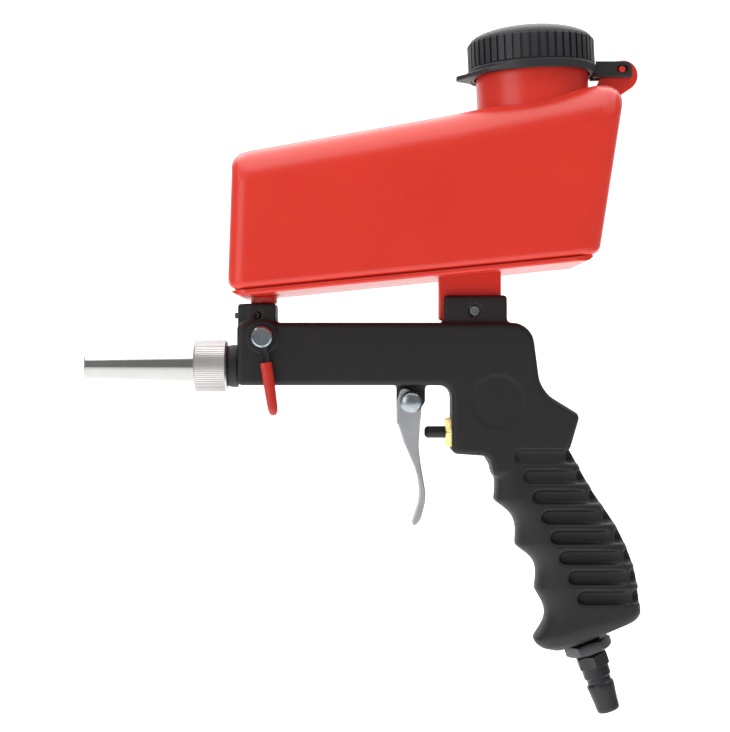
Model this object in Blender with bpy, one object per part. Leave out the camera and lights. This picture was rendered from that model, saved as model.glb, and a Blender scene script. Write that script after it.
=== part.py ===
"""Gravity-feed abrasive blast gun: a cast pistol body with a hopper on top.

The gun frame has its origin on the bore's axis at the body's front face, with
+X from the nozzle towards the grip, +Z up, and the gun's middle plane at Y = 0.
A root empty moves that frame so that the world's origin is the middle of the
hand grip. All sizes are in metres; outlines list (x, z, corner radius) in
millimetres, anticlockwise as seen from -Y.
"""

import math

import bmesh
import bpy
from mathutils import Matrix, Vector

MM = 0.001
GAP = 0.3 * MM
GRIP_CENTRE = Vector((150 * MM, 0, -80 * MM))
ALONG_X = Vector((1, 0, 0))
ALONG_Y = Vector((0, 1, 0))
UP = Vector((0, 0, 1))

# Cast body
BODY_HALF_WIDTH = 13 * MM
BODY_EDGE = 2.2 * MM
BODY_OUTLINE = (
    (0.9, -8.8, 2.5), (98.3, -8.8, 5.5), (98.3, -39.8, 2.6), (115.2, -40.9, 4.5),
    (117.4, -50.0, 0.5), (147.0, -48.0, 0.5), (151.6, -38.5, 6.0), (156.4, -22.2, 3.0),
    (138.5, -11.2, 14.0), (134.5, 19.7, 10.0), (0.9, 19.7, 2.5),
)
TURRET_HALF_WIDTH = 11 * MM
TURRET_TOP = 28.4 * MM
TURRET_LENGTH = 17.5 * MM
TURRET_CHAMFER = 5.5 * MM
BRACKET_OUTLINE = ((94.7, 17.0, 0), (123.4, 17.0, 0), (123.4, 32.2, 1.2), (94.7, 32.2, 1.2))
BRACKET_HALF_WIDTH = 11 * MM
TONGUE_SLOT_HALF_WIDTH = 6.3 * MM
TONGUE_SLOT_FLOOR = 20.6 * MM
TONGUE_SLOT_END = 121.3 * MM
TRIGGER_LUG_OUTLINE = ((73.4, -19.6, 0.8), (84.3, -19.6, 0.8), (86.4, -16.6, 0.8), (86.4, -6.0, 0),
                       (73.4, -6.0, 0))
TRIGGER_LUG_HALF_WIDTH = 5 * MM
MEDALLION_PLACE = (119.0 * MM, -16.1 * MM)
MEDALLION_RADIUS = 12.25 * MM
MEDALLION_DEPTH = 0.3 * MM

# Grip: a loft of slices, each with a front point, a back point, a half width and a squareness
RIDGES = ((113.6, -41.2), (118.0, -61.4), (127.7, -82.0), (136.7, -102.2), (136.1, -124.8))
GROOVE_DEPTHS = (2.4, 4.4, 4.6, 5.0)
GRIP_BACK = ((152.4, -38.0), (162.7, -56.4), (174.9, -74.9), (182.4, -93.0), (185.1, -111.0))
GRIP_HALF_WIDTHS = (12.3, 14.5, 15.1, 15.0, 14.6)
GRIP_SQUARENESS = (6.0, 3.6, 3.0, 2.9, 3.0)
GRIP_TOP_SLICE = ((112.0, -34.0), (149.0, -31.0), 11.5, 6.0)
GRIP_BUTT_SLICES = (
    ((137.4, -127.0), (184.7, -113.4), 13.8, 3.0),
    ((140.4, -129.2), (183.1, -115.8), 12.4, 2.8),
    ((146.2, -130.5), (179.0, -117.4), 9.8, 2.6),
)
SLICES_PER_GROOVE = 4
POINTS_PER_SLICE = 24
SLOT_COUNT = 8
SLOT_TOP_PLACE = (126.8, -41.1)
SLOT_STEP = (4.0, -9.11)
SLOT_HEIGHT = 6.1 * MM
SLOT_FLOOR_HALF_WIDTH = 11.2 * MM
SLOT_WEB_HALF_WIDTH = 1.6 * MM
SLOT_BACK_MARGIN = 4.3 * MM

# Passages in the body
CHAMBER_RADIUS = 6.0 * MM
CHAMBER_LENGTH = 24.0 * MM
GALLERY_RADIUS = 2.6 * MM
GALLERY_END = 113.0 * MM
VALVE_HEIGHT = -30.3 * MM
VALVE_RECESS_RADIUS = 8.3 * MM
VALVE_RECESS_END = 101.6 * MM
VALVE_BORE_RADIUS = 5.2 * MM
VALVE_BORE_END = 128.6 * MM
RISER_PLACE = 110.4 * MM
INLET_LEAN = math.radians(18)
INLET_SOCKET = Vector((162.65 * MM, 0, -132.4 * MM))
INLET_DIRECTION = Vector((math.sin(INLET_LEAN), 0, -math.cos(INLET_LEAN)))
INLET_THREAD_RADIUS = 6.1 * MM
PLUG_BORE_RADIUS = 3.6 * MM

# Media valve and its spout
MEDIA_PLACE = 12.5 * MM
MEDIA_BORE_RADIUS = 3.4 * MM
SPINDLE_HEIGHT = 13.1 * MM
SPINDLE_RADIUS = 4.3 * MM
SPINDLE_BOSS_RADIUS = 7.6 * MM
SPINDLE_BOSS_HEIGHT = 0.5 * MM
LEVER_LEAN = math.radians(8.6)
LEVER_LENGTH = 31 * MM
LEVER_WIDTH = 3.9 * MM
SPOUT_SOCKET_RADIUS = 5.0 * MM
SPOUT_SOCKET_FLOOR = 19.4 * MM
SIDE_SCREW_PLACE = (10.3 * MM, 23.0 * MM)
FRONT_SCREW_HEIGHT = 23.2 * MM
GRUB_RADIUS = 1.35 * MM
BRACKET_PIN_PLACE = (108.6 * MM, 25.1 * MM)
BRACKET_PIN_RADIUS = 2.2 * MM

# Nozzle
NOZZLE_TIP = -69.6 * MM
NUT_FRONT = -19.1 * MM
NUT_BACK = -4.2 * MM
NUT_RADIUS = 11.8 * MM
NUT_FLUTE_COUNT = 20

# Trigger and push valve
TRIGGER_PIVOT = Vector((80.0 * MM, 0, -16.4 * MM))
EAR_OUTLINE = ((73.5, -26.2, 0), (84.0, -26.2, 0), (84.7, -19.0, 2.0), (82.2, -12.0, 1.5),
               (75.4, -9.5, 1.2), (73.5, -16.0, 2.0))
EAR_OUTER_HALF_WIDTH = 7.8 * MM
BLADE_OUTLINE = ((73.5, -25.2, 0), (76.6, -35.0, 8.0), (83.0, -49.8, 24.0), (84.2, -60.5, 12.0),
                 (80.0, -73.6, 1.2),
                 (83.9, -71.4, 6.0), (86.9, -60.0, 14.0), (84.0, -43.0, 22.0), (83.3, -37.0, 10.0), (84.0,
                                                                                                     -25.2, 0))
BLADE_HALF_WIDTH = 7.8 * MM
PIN_TIP = 86.2 * MM

# Hopper
HOPPER_CORNERS = ((-2.1, 33.4, 4.6), (162.9, 49.7, 4.6), (175.2, 128.6, 9.0), (93.3, 112.1, 60.0),
                  (0.0, 95.6, 7.0))
HOPPER_EDGE_RADII = (3.0, 6.0, 18.0, 18.0, 6.0)
HOPPER_HALF_WIDTH = 33.0
HOPPER_WALL = 2.5
TRAY_CORNERS = ((-0.9, 30.7, 2.2), (160.3, 46.8, 2.2), (160.8, 49.2, 0.3), (-0.8, 33.1, 0.3))
TRAY_EDGE_RADII = (1.6, 1.2, 0.3, 1.2)
TRAY_HALF_WIDTH = 32.0
UPSTAND_CORNERS = ((1.5, 32.2, 0.3), (158.9, 47.9, 0.3), (159.4, 51.3, 0.3), (1.7, 35.6, 0.3))
UPSTAND_EDGE_RADII = (0.3, 3.0, 0.3, 3.0)
UPSTAND_HALF_WIDTH = 30.1
TONGUE_OUTLINE = ((92.7, 21.0, 0.8), (121.0, 21.0, 0.8), (121.0, 43.5, 0), (92.7, 40.5, 0))
TONGUE_HALF_WIDTH = 6.0 * MM
NECK_LEAN = math.radians(-2.5)
NECK_BASE = Vector((135.9 * MM, 0, 125.0 * MM))
NECK_DIRECTION = Vector((math.sin(NECK_LEAN), 0, math.cos(NECK_LEAN)))
NECK_RADIUS = 25.7 * MM
NECK_BORE_RADIUS = 23.2 * MM
NECK_TOP = 20.4 * MM
NECK_ROOT = -22.0 * MM
CAP_HINGE = Vector((176.3 * MM, 0, 135.5 * MM))
LUG_OUTLINE = ((165.4, 129.0, 0), (166.0, 119.0, 0), (173.5, 116.0, 0), (176.4, 124.4, 1.0),
               (184.6, 130.0, 6.4), (182.6, 140.8, 6.5), (170.8, 139.4, 6.5), (167.0, 132.0, 1.0))
LUG_HALF_WIDTH = 2.5 * MM

# Cap and its carrier ring, measured along the neck's axis from the neck's base point
RING_BOTTOM = 7.2 * MM
RING_TOP = 11.3 * MM
RING_RADIUS = 29.5 * MM
RING_BORE_RADIUS = 28.0 * MM
TAB_PLAN = ((-19.0, -20.6), (-31.4, -5.6), (-34.0, -2.4), (-34.6, 0.0), (-34.0, 2.4), (-31.4, 6.6),
            (-26.6, 16.6), (-22.4, 22.2), (-15.0, 25.5))
CAP_RADIUS = 29.0 * MM
CAP_BORE_RADIUS = 26.6 * MM
CAP_SHOULDER = 23.3 * MM
CAP_CROWN = 7.0 * MM
CAP_FLUTE_COUNT = 24
ARM_OUTLINE = ((158.0, 131.9, 0), (180.7, 131.9, 0.5), (180.7, 139.1, 3.0), (158.0, 139.1, 0))

MATERIALS = {
    "black_powder_coat": ((0.022, 0.022, 0.024), 0.0, 0.55),
    "red_hopper_plastic": ((0.78, 0.055, 0.032), 0.0, 0.38),
    "black_cap_plastic": ((0.035, 0.036, 0.04), 0.0, 0.45),
    "polished_steel": ((0.62, 0.62, 0.60), 1.0, 0.12),
    "zinc_plated_steel": ((0.55, 0.57, 0.60), 1.0, 0.25),
    "cast_trigger_metal": ((0.33, 0.33, 0.34), 1.0, 0.45),
    "turned_aluminium": ((0.72, 0.72, 0.73), 1.0, 0.30),
    "brass": ((0.72, 0.50, 0.20), 1.0, 0.25),
    "black_oxide_steel": ((0.06, 0.06, 0.062), 0.6, 0.42),
    "red_vinyl": ((0.60, 0.03, 0.02), 0.0, 0.35),
    "black_rubber": ((0.02, 0.02, 0.02), 0.0, 0.7),
    "spring_steel": ((0.45, 0.45, 0.46), 1.0, 0.3),
}


def clear_scene():
    for thing in list(bpy.data.objects):
        bpy.data.objects.remove(thing, do_unlink=True)


def material(name):
    """The named material, made once."""
    found = bpy.data.materials.get(name)
    if found:
        return found
    colour, metallic, roughness = MATERIALS[name]
    made = bpy.data.materials.new(name)
    made.use_nodes = True
    shader = made.node_tree.nodes["Principled BSDF"]
    shader.inputs["Base Color"].default_value = (*colour, 1.0)
    shader.inputs["Metallic"].default_value = metallic
    shader.inputs["Roughness"].default_value = roughness
    return made


def add_object(name, mesh, finish, place=(0, 0, 0)):
    """An object for this mesh under the root empty, smooth apart from its sharp edges."""
    mesh.shade_smooth()
    mesh.set_sharp_from_angle(angle=math.radians(32))
    made = bpy.data.objects.new(name, mesh)
    if finish:
        mesh.materials.append(material(finish))
    made.location = place
    made.parent = bpy.data.objects["root"]
    bpy.context.scene.collection.objects.link(made)
    return made


def mesh_from(bm, name, matrix=None):
    if matrix:
        bmesh.ops.transform(bm, matrix=matrix, verts=bm.verts)
    bmesh.ops.recalc_face_normals(bm, faces=bm.faces)
    mesh = bpy.data.meshes.new(name)
    bm.to_mesh(mesh)
    bm.free()
    return mesh


def turn(before, after):
    """Positive where an outline turns left from one edge to the next."""
    return before[0] * after[1] - before[1] * after[0]


def inset(corners, distances):
    """The corners after each edge has moved inwards by its own distance; edge i leaves corner i."""
    moved = []
    for i, (x, z, radius) in enumerate(corners):
        last, following = corners[i - 1], corners[(i + 1) % len(corners)]
        before = Vector((x - last[0], z - last[1])).normalized()
        after = Vector((following[0] - x, following[1] - z)).normalized()
        near, far = distances[i - 1], distances[i]
        across = turn(before, after)
        normal = Vector((-before[1], before[0]))
        next_normal = Vector((-after[1], after[0]))
        if abs(across) < 0.2:
            step = (normal + next_normal).normalized() * (near + far) / 2
        else:
            step = (after * near - before * far) / across
        change = (near + far) / 2 * math.copysign(1, across)
        moved.append((x + step[0], z + step[1], max(radius - change, 0.25) if radius else 0))
    return moved


def rounded(corners, steps=4):
    """Points along the outline in metres, with each corner that has a radius turned into an arc."""
    points = []
    for i, (x, z, radius) in enumerate(corners):
        here = Vector((x, z))
        if not radius:
            points.append(here * MM)
            continue
        back = (Vector(corners[i - 1][:2]) - here).normalized()
        ahead = (Vector(corners[(i + 1) % len(corners)][:2]) - here).normalized()
        half_angle = back.angle(ahead) / 2
        reach = radius / math.tan(half_angle)
        centre = here + (back + ahead).normalized() * radius / math.sin(half_angle)
        start = here + back * reach - centre
        sweep = (here + ahead * reach - centre).angle_signed(start)
        for k in range(steps + 1):
            points.append((centre + Matrix.Rotation(sweep * k / steps, 2) @ start) * MM)
    return points


def loft(rings):
    """A closed bmesh through rings of equal length, with a cap on each end."""
    bm = bmesh.new()
    rows = [[bm.verts.new(point) for point in ring] for ring in rings]
    count = len(rows[0])
    for low, high in zip(rows, rows[1:]):
        for i in range(count):
            j = (i + 1) % count
            bm.faces.new((low[i], low[j], high[j], high[i]))
    bm.faces.new(rows[0])
    bm.faces.new(rows[-1])
    return bm


def plate(corners, low, high, steps=4):
    """A bmesh of the rounded outline between two places across the gun, in metres."""
    outline = rounded(corners, steps)
    return loft([[(p[0], y, p[1]) for p in outline] for y in (low, high)])


def crowned(corners, radii, half_width, corner_steps=4, edge_steps=4):
    """A bmesh of the outline whose long edges are rounded, each edge by its own radius; sizes in mm."""
    largest = max(radii)
    across = [half_width - r for r in radii]
    angles = [math.pi / 2 * k / edge_steps for k in range(edge_steps + 1)]
    places = sorted({round(half_width - largest + largest * math.sin(a), 3) for a in angles}
                    | {round(half_width - r + r * math.sin(a), 3) for r in set(radii)
                       for a in angles[1:-1:2]}
                    | {half_width})
    rings = []
    for y in [-p for p in reversed(places)] + places:
        sunk = []
        for radius, start in zip(radii, across):
            over = min(max(abs(y) - start, 0), radius)
            sunk.append(radius - math.sqrt(max(radius * radius - over * over, 0)))
        outline = rounded(inset(corners, sunk), corner_steps)
        rings.append([(p[0], y * MM, p[1]) for p in outline])
    return loft(rings)


def turned(profile, segments):
    """A bmesh turned about Z from (radius, height) points in mm: closed loops that clear the axis, or ends on it."""
    bm = bmesh.new()
    verts = [bm.verts.new((r * MM, 0, h * MM)) for r, h in profile]
    edges = [bm.edges.new(pair) for pair in zip(verts, verts[1:])]
    if profile[0][0] and profile[-1][0]:
        edges.append(bm.edges.new((verts[-1], verts[0])))
    bmesh.ops.spin(bm, geom=verts + edges, cent=(0, 0, 0), axis=(0, 0, 1), angle=2 * math.pi,
                   steps=segments, use_merge=True, use_duplicate=False)
    bmesh.ops.remove_doubles(bm, verts=bm.verts, dist=1e-6)
    return bm


def flute(bm, count, beyond, depth):
    """Pulls every other column of points beyond this radius inwards, which makes grip flutes."""
    for vert in bm.verts:
        column = round(math.atan2(vert.co.y, vert.co.x) * count / math.pi)
        radius = math.hypot(vert.co.x, vert.co.y)
        if column % 2 and radius > beyond:
            vert.co.xy *= (radius - depth) / radius


def facing(direction):
    """The turn that takes +Z to this direction."""
    return UP.rotation_difference(Vector(direction)).to_matrix().to_4x4()


def turned_object(name, profile, finish, place, direction, segments=24):
    mesh = mesh_from(turned(profile, segments), name, facing(direction))
    return add_object(name, mesh, finish, place)


def rod(name, start, end, radius, segments=20):
    """A cutter: a round rod between two points of the gun frame."""
    start, end = Vector(start), Vector(end)
    length = (end - start).length / MM
    profile = ((0, 0), (radius / MM, 0), (radius / MM, length), (0, length))
    mesh = mesh_from(turned(profile, segments), name, facing(end - start))
    return hide(add_object(name, mesh, None, start))


def hide(cutter):
    cutter.hide_render = True
    cutter.display_type = "WIRE"
    return cutter


def combine(target, tool, operation="DIFFERENCE"):
    step = target.modifiers.new(tool.name, "BOOLEAN")
    step.operation = operation
    step.solver = "EXACT"
    step.object = tool
    return target


def join(target, bm, name):
    """Unites the target with this shape."""
    combine(target, hide(add_object(name, mesh_from(bm, name), None)), "UNION")


def carve(target, bm, name):
    """Takes this shape away from the target."""
    combine(target, hide(add_object(name, mesh_from(bm, name), None)))


def drill(target, name, start, end, radius, segments=20):
    combine(target, rod(name, start, end, radius, segments))


def block(low, high):
    bm = bmesh.new()
    bmesh.ops.create_cube(bm, size=1)
    size = Vector(high) - Vector(low)
    bmesh.ops.transform(bm, matrix=Matrix.Translation((Vector(low) + Vector(high)) / 2) @ Matrix.Diagonal((*size, 1)),
                        verts=bm.verts)
    return bm


def prism(sides, radius, low, high, spin=0.0):
    """A bmesh of a regular prism along Z, with its corners at this radius; sizes in metres."""
    angles = [spin + 2 * math.pi * k / sides for k in range(sides)]
    return loft([[(radius * math.cos(a), radius * math.sin(a), h) for a in angles] for h in (low, high)])


def curve_point(points, t):
    """A point at t, counted in points, on the smooth curve through all of them."""
    i = min(int(t), len(points) - 2)
    t -= i
    p1, p2 = Vector(points[i]), Vector(points[i + 1])
    p0 = Vector(points[i - 1]) if i else 2 * p1 - p2
    p3 = Vector(points[i + 2]) if i + 2 < len(points) else 2 * p2 - p1
    return 0.5 * (2 * p1 + (p2 - p0) * t + (2 * p0 - 5 * p1 + 4 * p2 - p3) * t * t
                  + (3 * p1 - 3 * p2 + p3 - p0) * t ** 3)


def groove_point(i, t):
    """A point on the front of the grip, on the arc that dips between ridge i and the next."""
    start, end = Vector(RIDGES[i]), Vector(RIDGES[i + 1])
    chord = end - start
    inward = Vector((-chord[1], chord[0])).normalized()
    return start + chord * t + inward * GROOVE_DEPTHS[i] * 4 * t * (1 - t)


def grip_slices():
    """(front, back, half width, squareness) of every slice, top to bottom."""
    slices = [GRIP_TOP_SLICE]
    for i in range(len(GROOVE_DEPTHS)):
        for k in range(SLICES_PER_GROOVE + (i == len(GROOVE_DEPTHS) - 1)):
            t = k / SLICES_PER_GROOVE
            width = GRIP_HALF_WIDTHS[i] * (1 - t) + GRIP_HALF_WIDTHS[i + 1] * t
            square = GRIP_SQUARENESS[i] * (1 - t) + GRIP_SQUARENESS[i + 1] * t
            slices.append((groove_point(i, t), curve_point(GRIP_BACK, i + t), width, square))
    return slices + list(GRIP_BUTT_SLICES)


def slice_ring(front, back, half_width, squareness):
    """One slice of the grip: a superellipse between its front and back points."""
    front, back = Vector(front), Vector(back)
    middle, reach = (front + back) / 2, (back - front) / 2
    ring = []
    for k in range(POINTS_PER_SLICE):
        angle = 2 * math.pi * k / POINTS_PER_SLICE
        c, s = math.cos(angle), math.sin(angle)
        along = math.copysign(abs(c) ** (2 / squareness), c)
        side = math.copysign(abs(s) ** (2 / squareness), s)
        point = middle + reach * along
        ring.append((point[0] * MM, half_width * side * MM, point[1] * MM))
    return ring


def back_of_grip(height):
    """How far back the grip reaches at this height, in mm."""
    low, high = 0.0, len(GRIP_BACK) - 1.0
    for _ in range(30):
        middle = (low + high) / 2
        if curve_point(GRIP_BACK, middle)[1] > height:
            low = middle
        else:
            high = middle
    return curve_point(GRIP_BACK, low)[0]


def merged(parts, name):
    """One mesh that holds several shapes which don't touch each other."""
    whole = bmesh.new()
    for part in parts:
        piece = mesh_from(part, name)
        whole.from_mesh(piece)
        bpy.data.meshes.remove(piece)
    return whole


def slot_cutters():
    """The finger slots on both sides: shallow in front, and down to a thin web at the back."""
    half = SLOT_HEIGHT / MM / 2
    tools = []
    for k in range(SLOT_COUNT):
        x = SLOT_TOP_PLACE[0] + SLOT_STEP[0] * k
        z = SLOT_TOP_PLACE[1] + SLOT_STEP[1] * k
        end = back_of_grip(z) - SLOT_BACK_MARGIN / MM
        for side in (-1, 1):
            floor, web = side * SLOT_FLOOR_HALF_WIDTH / MM, side * SLOT_WEB_HALF_WIDTH / MM
            rings = []
            for step in (-2, -1, 0, 1, 2):
                lift = half * math.sin(math.pi / 4 * step)
                nose = x + half - math.sqrt(half * half - lift * lift)
                plan = ((nose, side * 20), (nose, floor), (end, floor), (end, web), (end + 20, web),
                        (end + 20, side * 20))
                rings.append([(px * MM, py * MM, (z + lift) * MM) for px, py in plan])
            tools.append(loft(rings))
    return merged(tools, "slots")


def make_body():
    """The cast body: frame, grip, turret, hopper bracket and trigger lug, with every passage drilled."""
    radii = [BODY_EDGE / MM] * len(BODY_OUTLINE)
    frame = crowned(BODY_OUTLINE, radii, BODY_HALF_WIDTH / MM, corner_steps=3, edge_steps=3)
    body = add_object("gun_body", mesh_from(frame, "gun_body"), "black_powder_coat")
    join(body, loft([slice_ring(*s) for s in grip_slices()]), "grip_shape")
    w, c = TURRET_HALF_WIDTH, TURRET_CHAMFER
    front = 0.8 * MM
    plan = ((front, -w + c), (front + c - 1 * MM, -w), (TURRET_LENGTH + front, -w),
            (TURRET_LENGTH + front, w),
            (front + c - 1 * MM, w), (front, w - c))
    join(body, loft([[(x, y, z) for x, y in plan] for z in (16 * MM, TURRET_TOP)]), "turret")
    join(body, plate(BRACKET_OUTLINE, -BRACKET_HALF_WIDTH, BRACKET_HALF_WIDTH), "bracket")
    lug = TRIGGER_LUG_HALF_WIDTH
    join(body, plate(TRIGGER_LUG_OUTLINE, -lug, lug, steps=2), "trigger_lug")
    spindle = Vector((MEDIA_PLACE, 0, SPINDLE_HEIGHT))
    boss = BODY_HALF_WIDTH + SPINDLE_BOSS_HEIGHT
    boss_rod = rod("spindle_boss", spindle - ALONG_Y * boss, spindle, SPINDLE_BOSS_RADIUS, 32)
    combine(body, boss_rod, "UNION")
    carve(body, slot_cutters(), "slots")
    carve(body, block((85 * MM, -TONGUE_SLOT_HALF_WIDTH, TONGUE_SLOT_FLOOR),
                      (TONGUE_SLOT_END, TONGUE_SLOT_HALF_WIDTH, 50 * MM)), "tongue_slot")
    x, z = MEDALLION_PLACE
    for name, side in (("near_medallion", -1), ("far_medallion", 1)):
        depth = side * (BODY_HALF_WIDTH - MEDALLION_DEPTH)
        drill(body, name, (x, depth, z), (x, side * 20 * MM, z), MEDALLION_RADIUS, 40)
    drill(body, "chamber", (-5 * MM, 0, 0), (CHAMBER_LENGTH, 0, 0), CHAMBER_RADIUS)
    drill(body, "collar_socket", (-5 * MM, 0, 0), (6.3 * MM, 0, 0), 7.8 * MM, 24)
    drill(body, "jet_socket", (20 * MM, 0, 0), (31.3 * MM, 0, 0), 4.3 * MM)
    drill(body, "gallery", (30 * MM, 0, 0), (GALLERY_END, 0, 0), GALLERY_RADIUS, 12)
    drill(body, "spindle_bore", spindle - ALONG_Y * 20 * MM, spindle + ALONG_Y * 20 * MM,
          SPINDLE_RADIUS + GAP)
    drill(body, "media_bore", (MEDIA_PLACE, 0, 0), (MEDIA_PLACE, 0, 25 * MM), MEDIA_BORE_RADIUS, 16)
    drill(body, "spout_socket", (MEDIA_PLACE, 0, SPOUT_SOCKET_FLOOR), (MEDIA_PLACE, 0, 40 * MM),
          SPOUT_SOCKET_RADIUS)
    x, z = SIDE_SCREW_PLACE
    drill(body, "side_screw_hole", (x, -20 * MM, z), (x, -3 * MM, z), GRUB_RADIUS + GAP, 12)
    drill(body, "front_screw_hole", (-5 * MM, 0, FRONT_SCREW_HEIGHT), (9 * MM, 0, FRONT_SCREW_HEIGHT),
          GRUB_RADIUS + GAP, 12)
    x, z = BRACKET_PIN_PLACE
    drill(body, "bracket_pin_hole", (x, -20 * MM, z), (x, 20 * MM, z), BRACKET_PIN_RADIUS + GAP, 16)
    drill(body, "pivot_hole", TRIGGER_PIVOT - ALONG_Y * 9 * MM, TRIGGER_PIVOT + ALONG_Y * 9 * MM, 2.8 * MM,
          16)
    drill(body, "valve_recess", (90 * MM, 0, VALVE_HEIGHT), (VALVE_RECESS_END, 0, VALVE_HEIGHT),
          VALVE_RECESS_RADIUS, 28)
    drill(body, "valve_bore", (95 * MM, 0, VALVE_HEIGHT), (VALVE_BORE_END, 0, VALVE_HEIGHT),
          VALVE_BORE_RADIUS)
    drill(body, "riser", (RISER_PLACE, 0, VALVE_HEIGHT), (RISER_PLACE, 0, 0), 2.4 * MM, 12)
    socket_end = INLET_SOCKET - INLET_DIRECTION * 22 * MM
    drill(body, "inlet_socket", INLET_SOCKET, socket_end, INLET_THREAD_RADIUS + GAP, 24)
    drill(body, "air_passage", socket_end + INLET_DIRECTION * 5 * MM, (121 * MM, 0, VALVE_HEIGHT),
          3.2 * MM, 12)


def make_nozzle():
    """Nozzle tube, its knurled nut and seal, the adapter collar and the air jet behind them."""
    axis = (1, 0, 0)
    tip, flange = NOZZLE_TIP / MM, -6.4
    turned_object("nozzle", ((3.5, tip), (5.3, tip), (5.7, tip + 0.5), (7.45, NUT_FRONT / MM + 1.6),
                             (7.45, flange - 2),
                             (9.0, flange - 2), (9.0, flange), (3.5, flange)), "polished_steel", (0, 0,
                                                                                                  0), axis, 32)
    front, back = NUT_FRONT / MM, NUT_BACK / MM
    nut = turned(((7.8, front), (11.2, front), (11.8, front + 0.6), (11.8, back - 0.6), (11.2, back),
                  (9.3, back),
                  (9.3, front + 2.4), (7.8, front + 2.4)), NUT_FLUTE_COUNT * 2)
    flute(nut, NUT_FLUTE_COUNT, NUT_RADIUS - 0.2 * MM, 0.35 * MM)
    add_object("nozzle_nut", mesh_from(nut, "nozzle_nut", facing(axis)), "turned_aluminium")
    turned_object("nozzle_collar", ((6.3, -5.7), (8.6, -5.7), (8.9, -5.4), (8.9, -3.9), (9.2, -3.9),
                                    (9.7, -2.2),
                                    (9.7, 0.6), (7.5, 0.6), (7.5, 6.0), (6.3, 6.0)),
                  "black_powder_coat", (0, 0, 0), axis, 32)
    ring = [(7.6 + 0.28 * math.cos(a), -6.05 + 0.28 * math.sin(a))
            for a in (math.tau * k / 5 for k in range(5))]
    turned_object("nozzle_seal", ring, "black_rubber", (0, 0, 0), axis, 20)
    turned_object("air_jet", ((1.1, 8.0), (2.4, 8.0), (3.2, 11.0), (3.2, 24.3), (4.0, 24.3), (4.0, 31.0),
                              (1.1, 31.0)),
                  "brass", (0, 0, 0), axis, 20)


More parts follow.
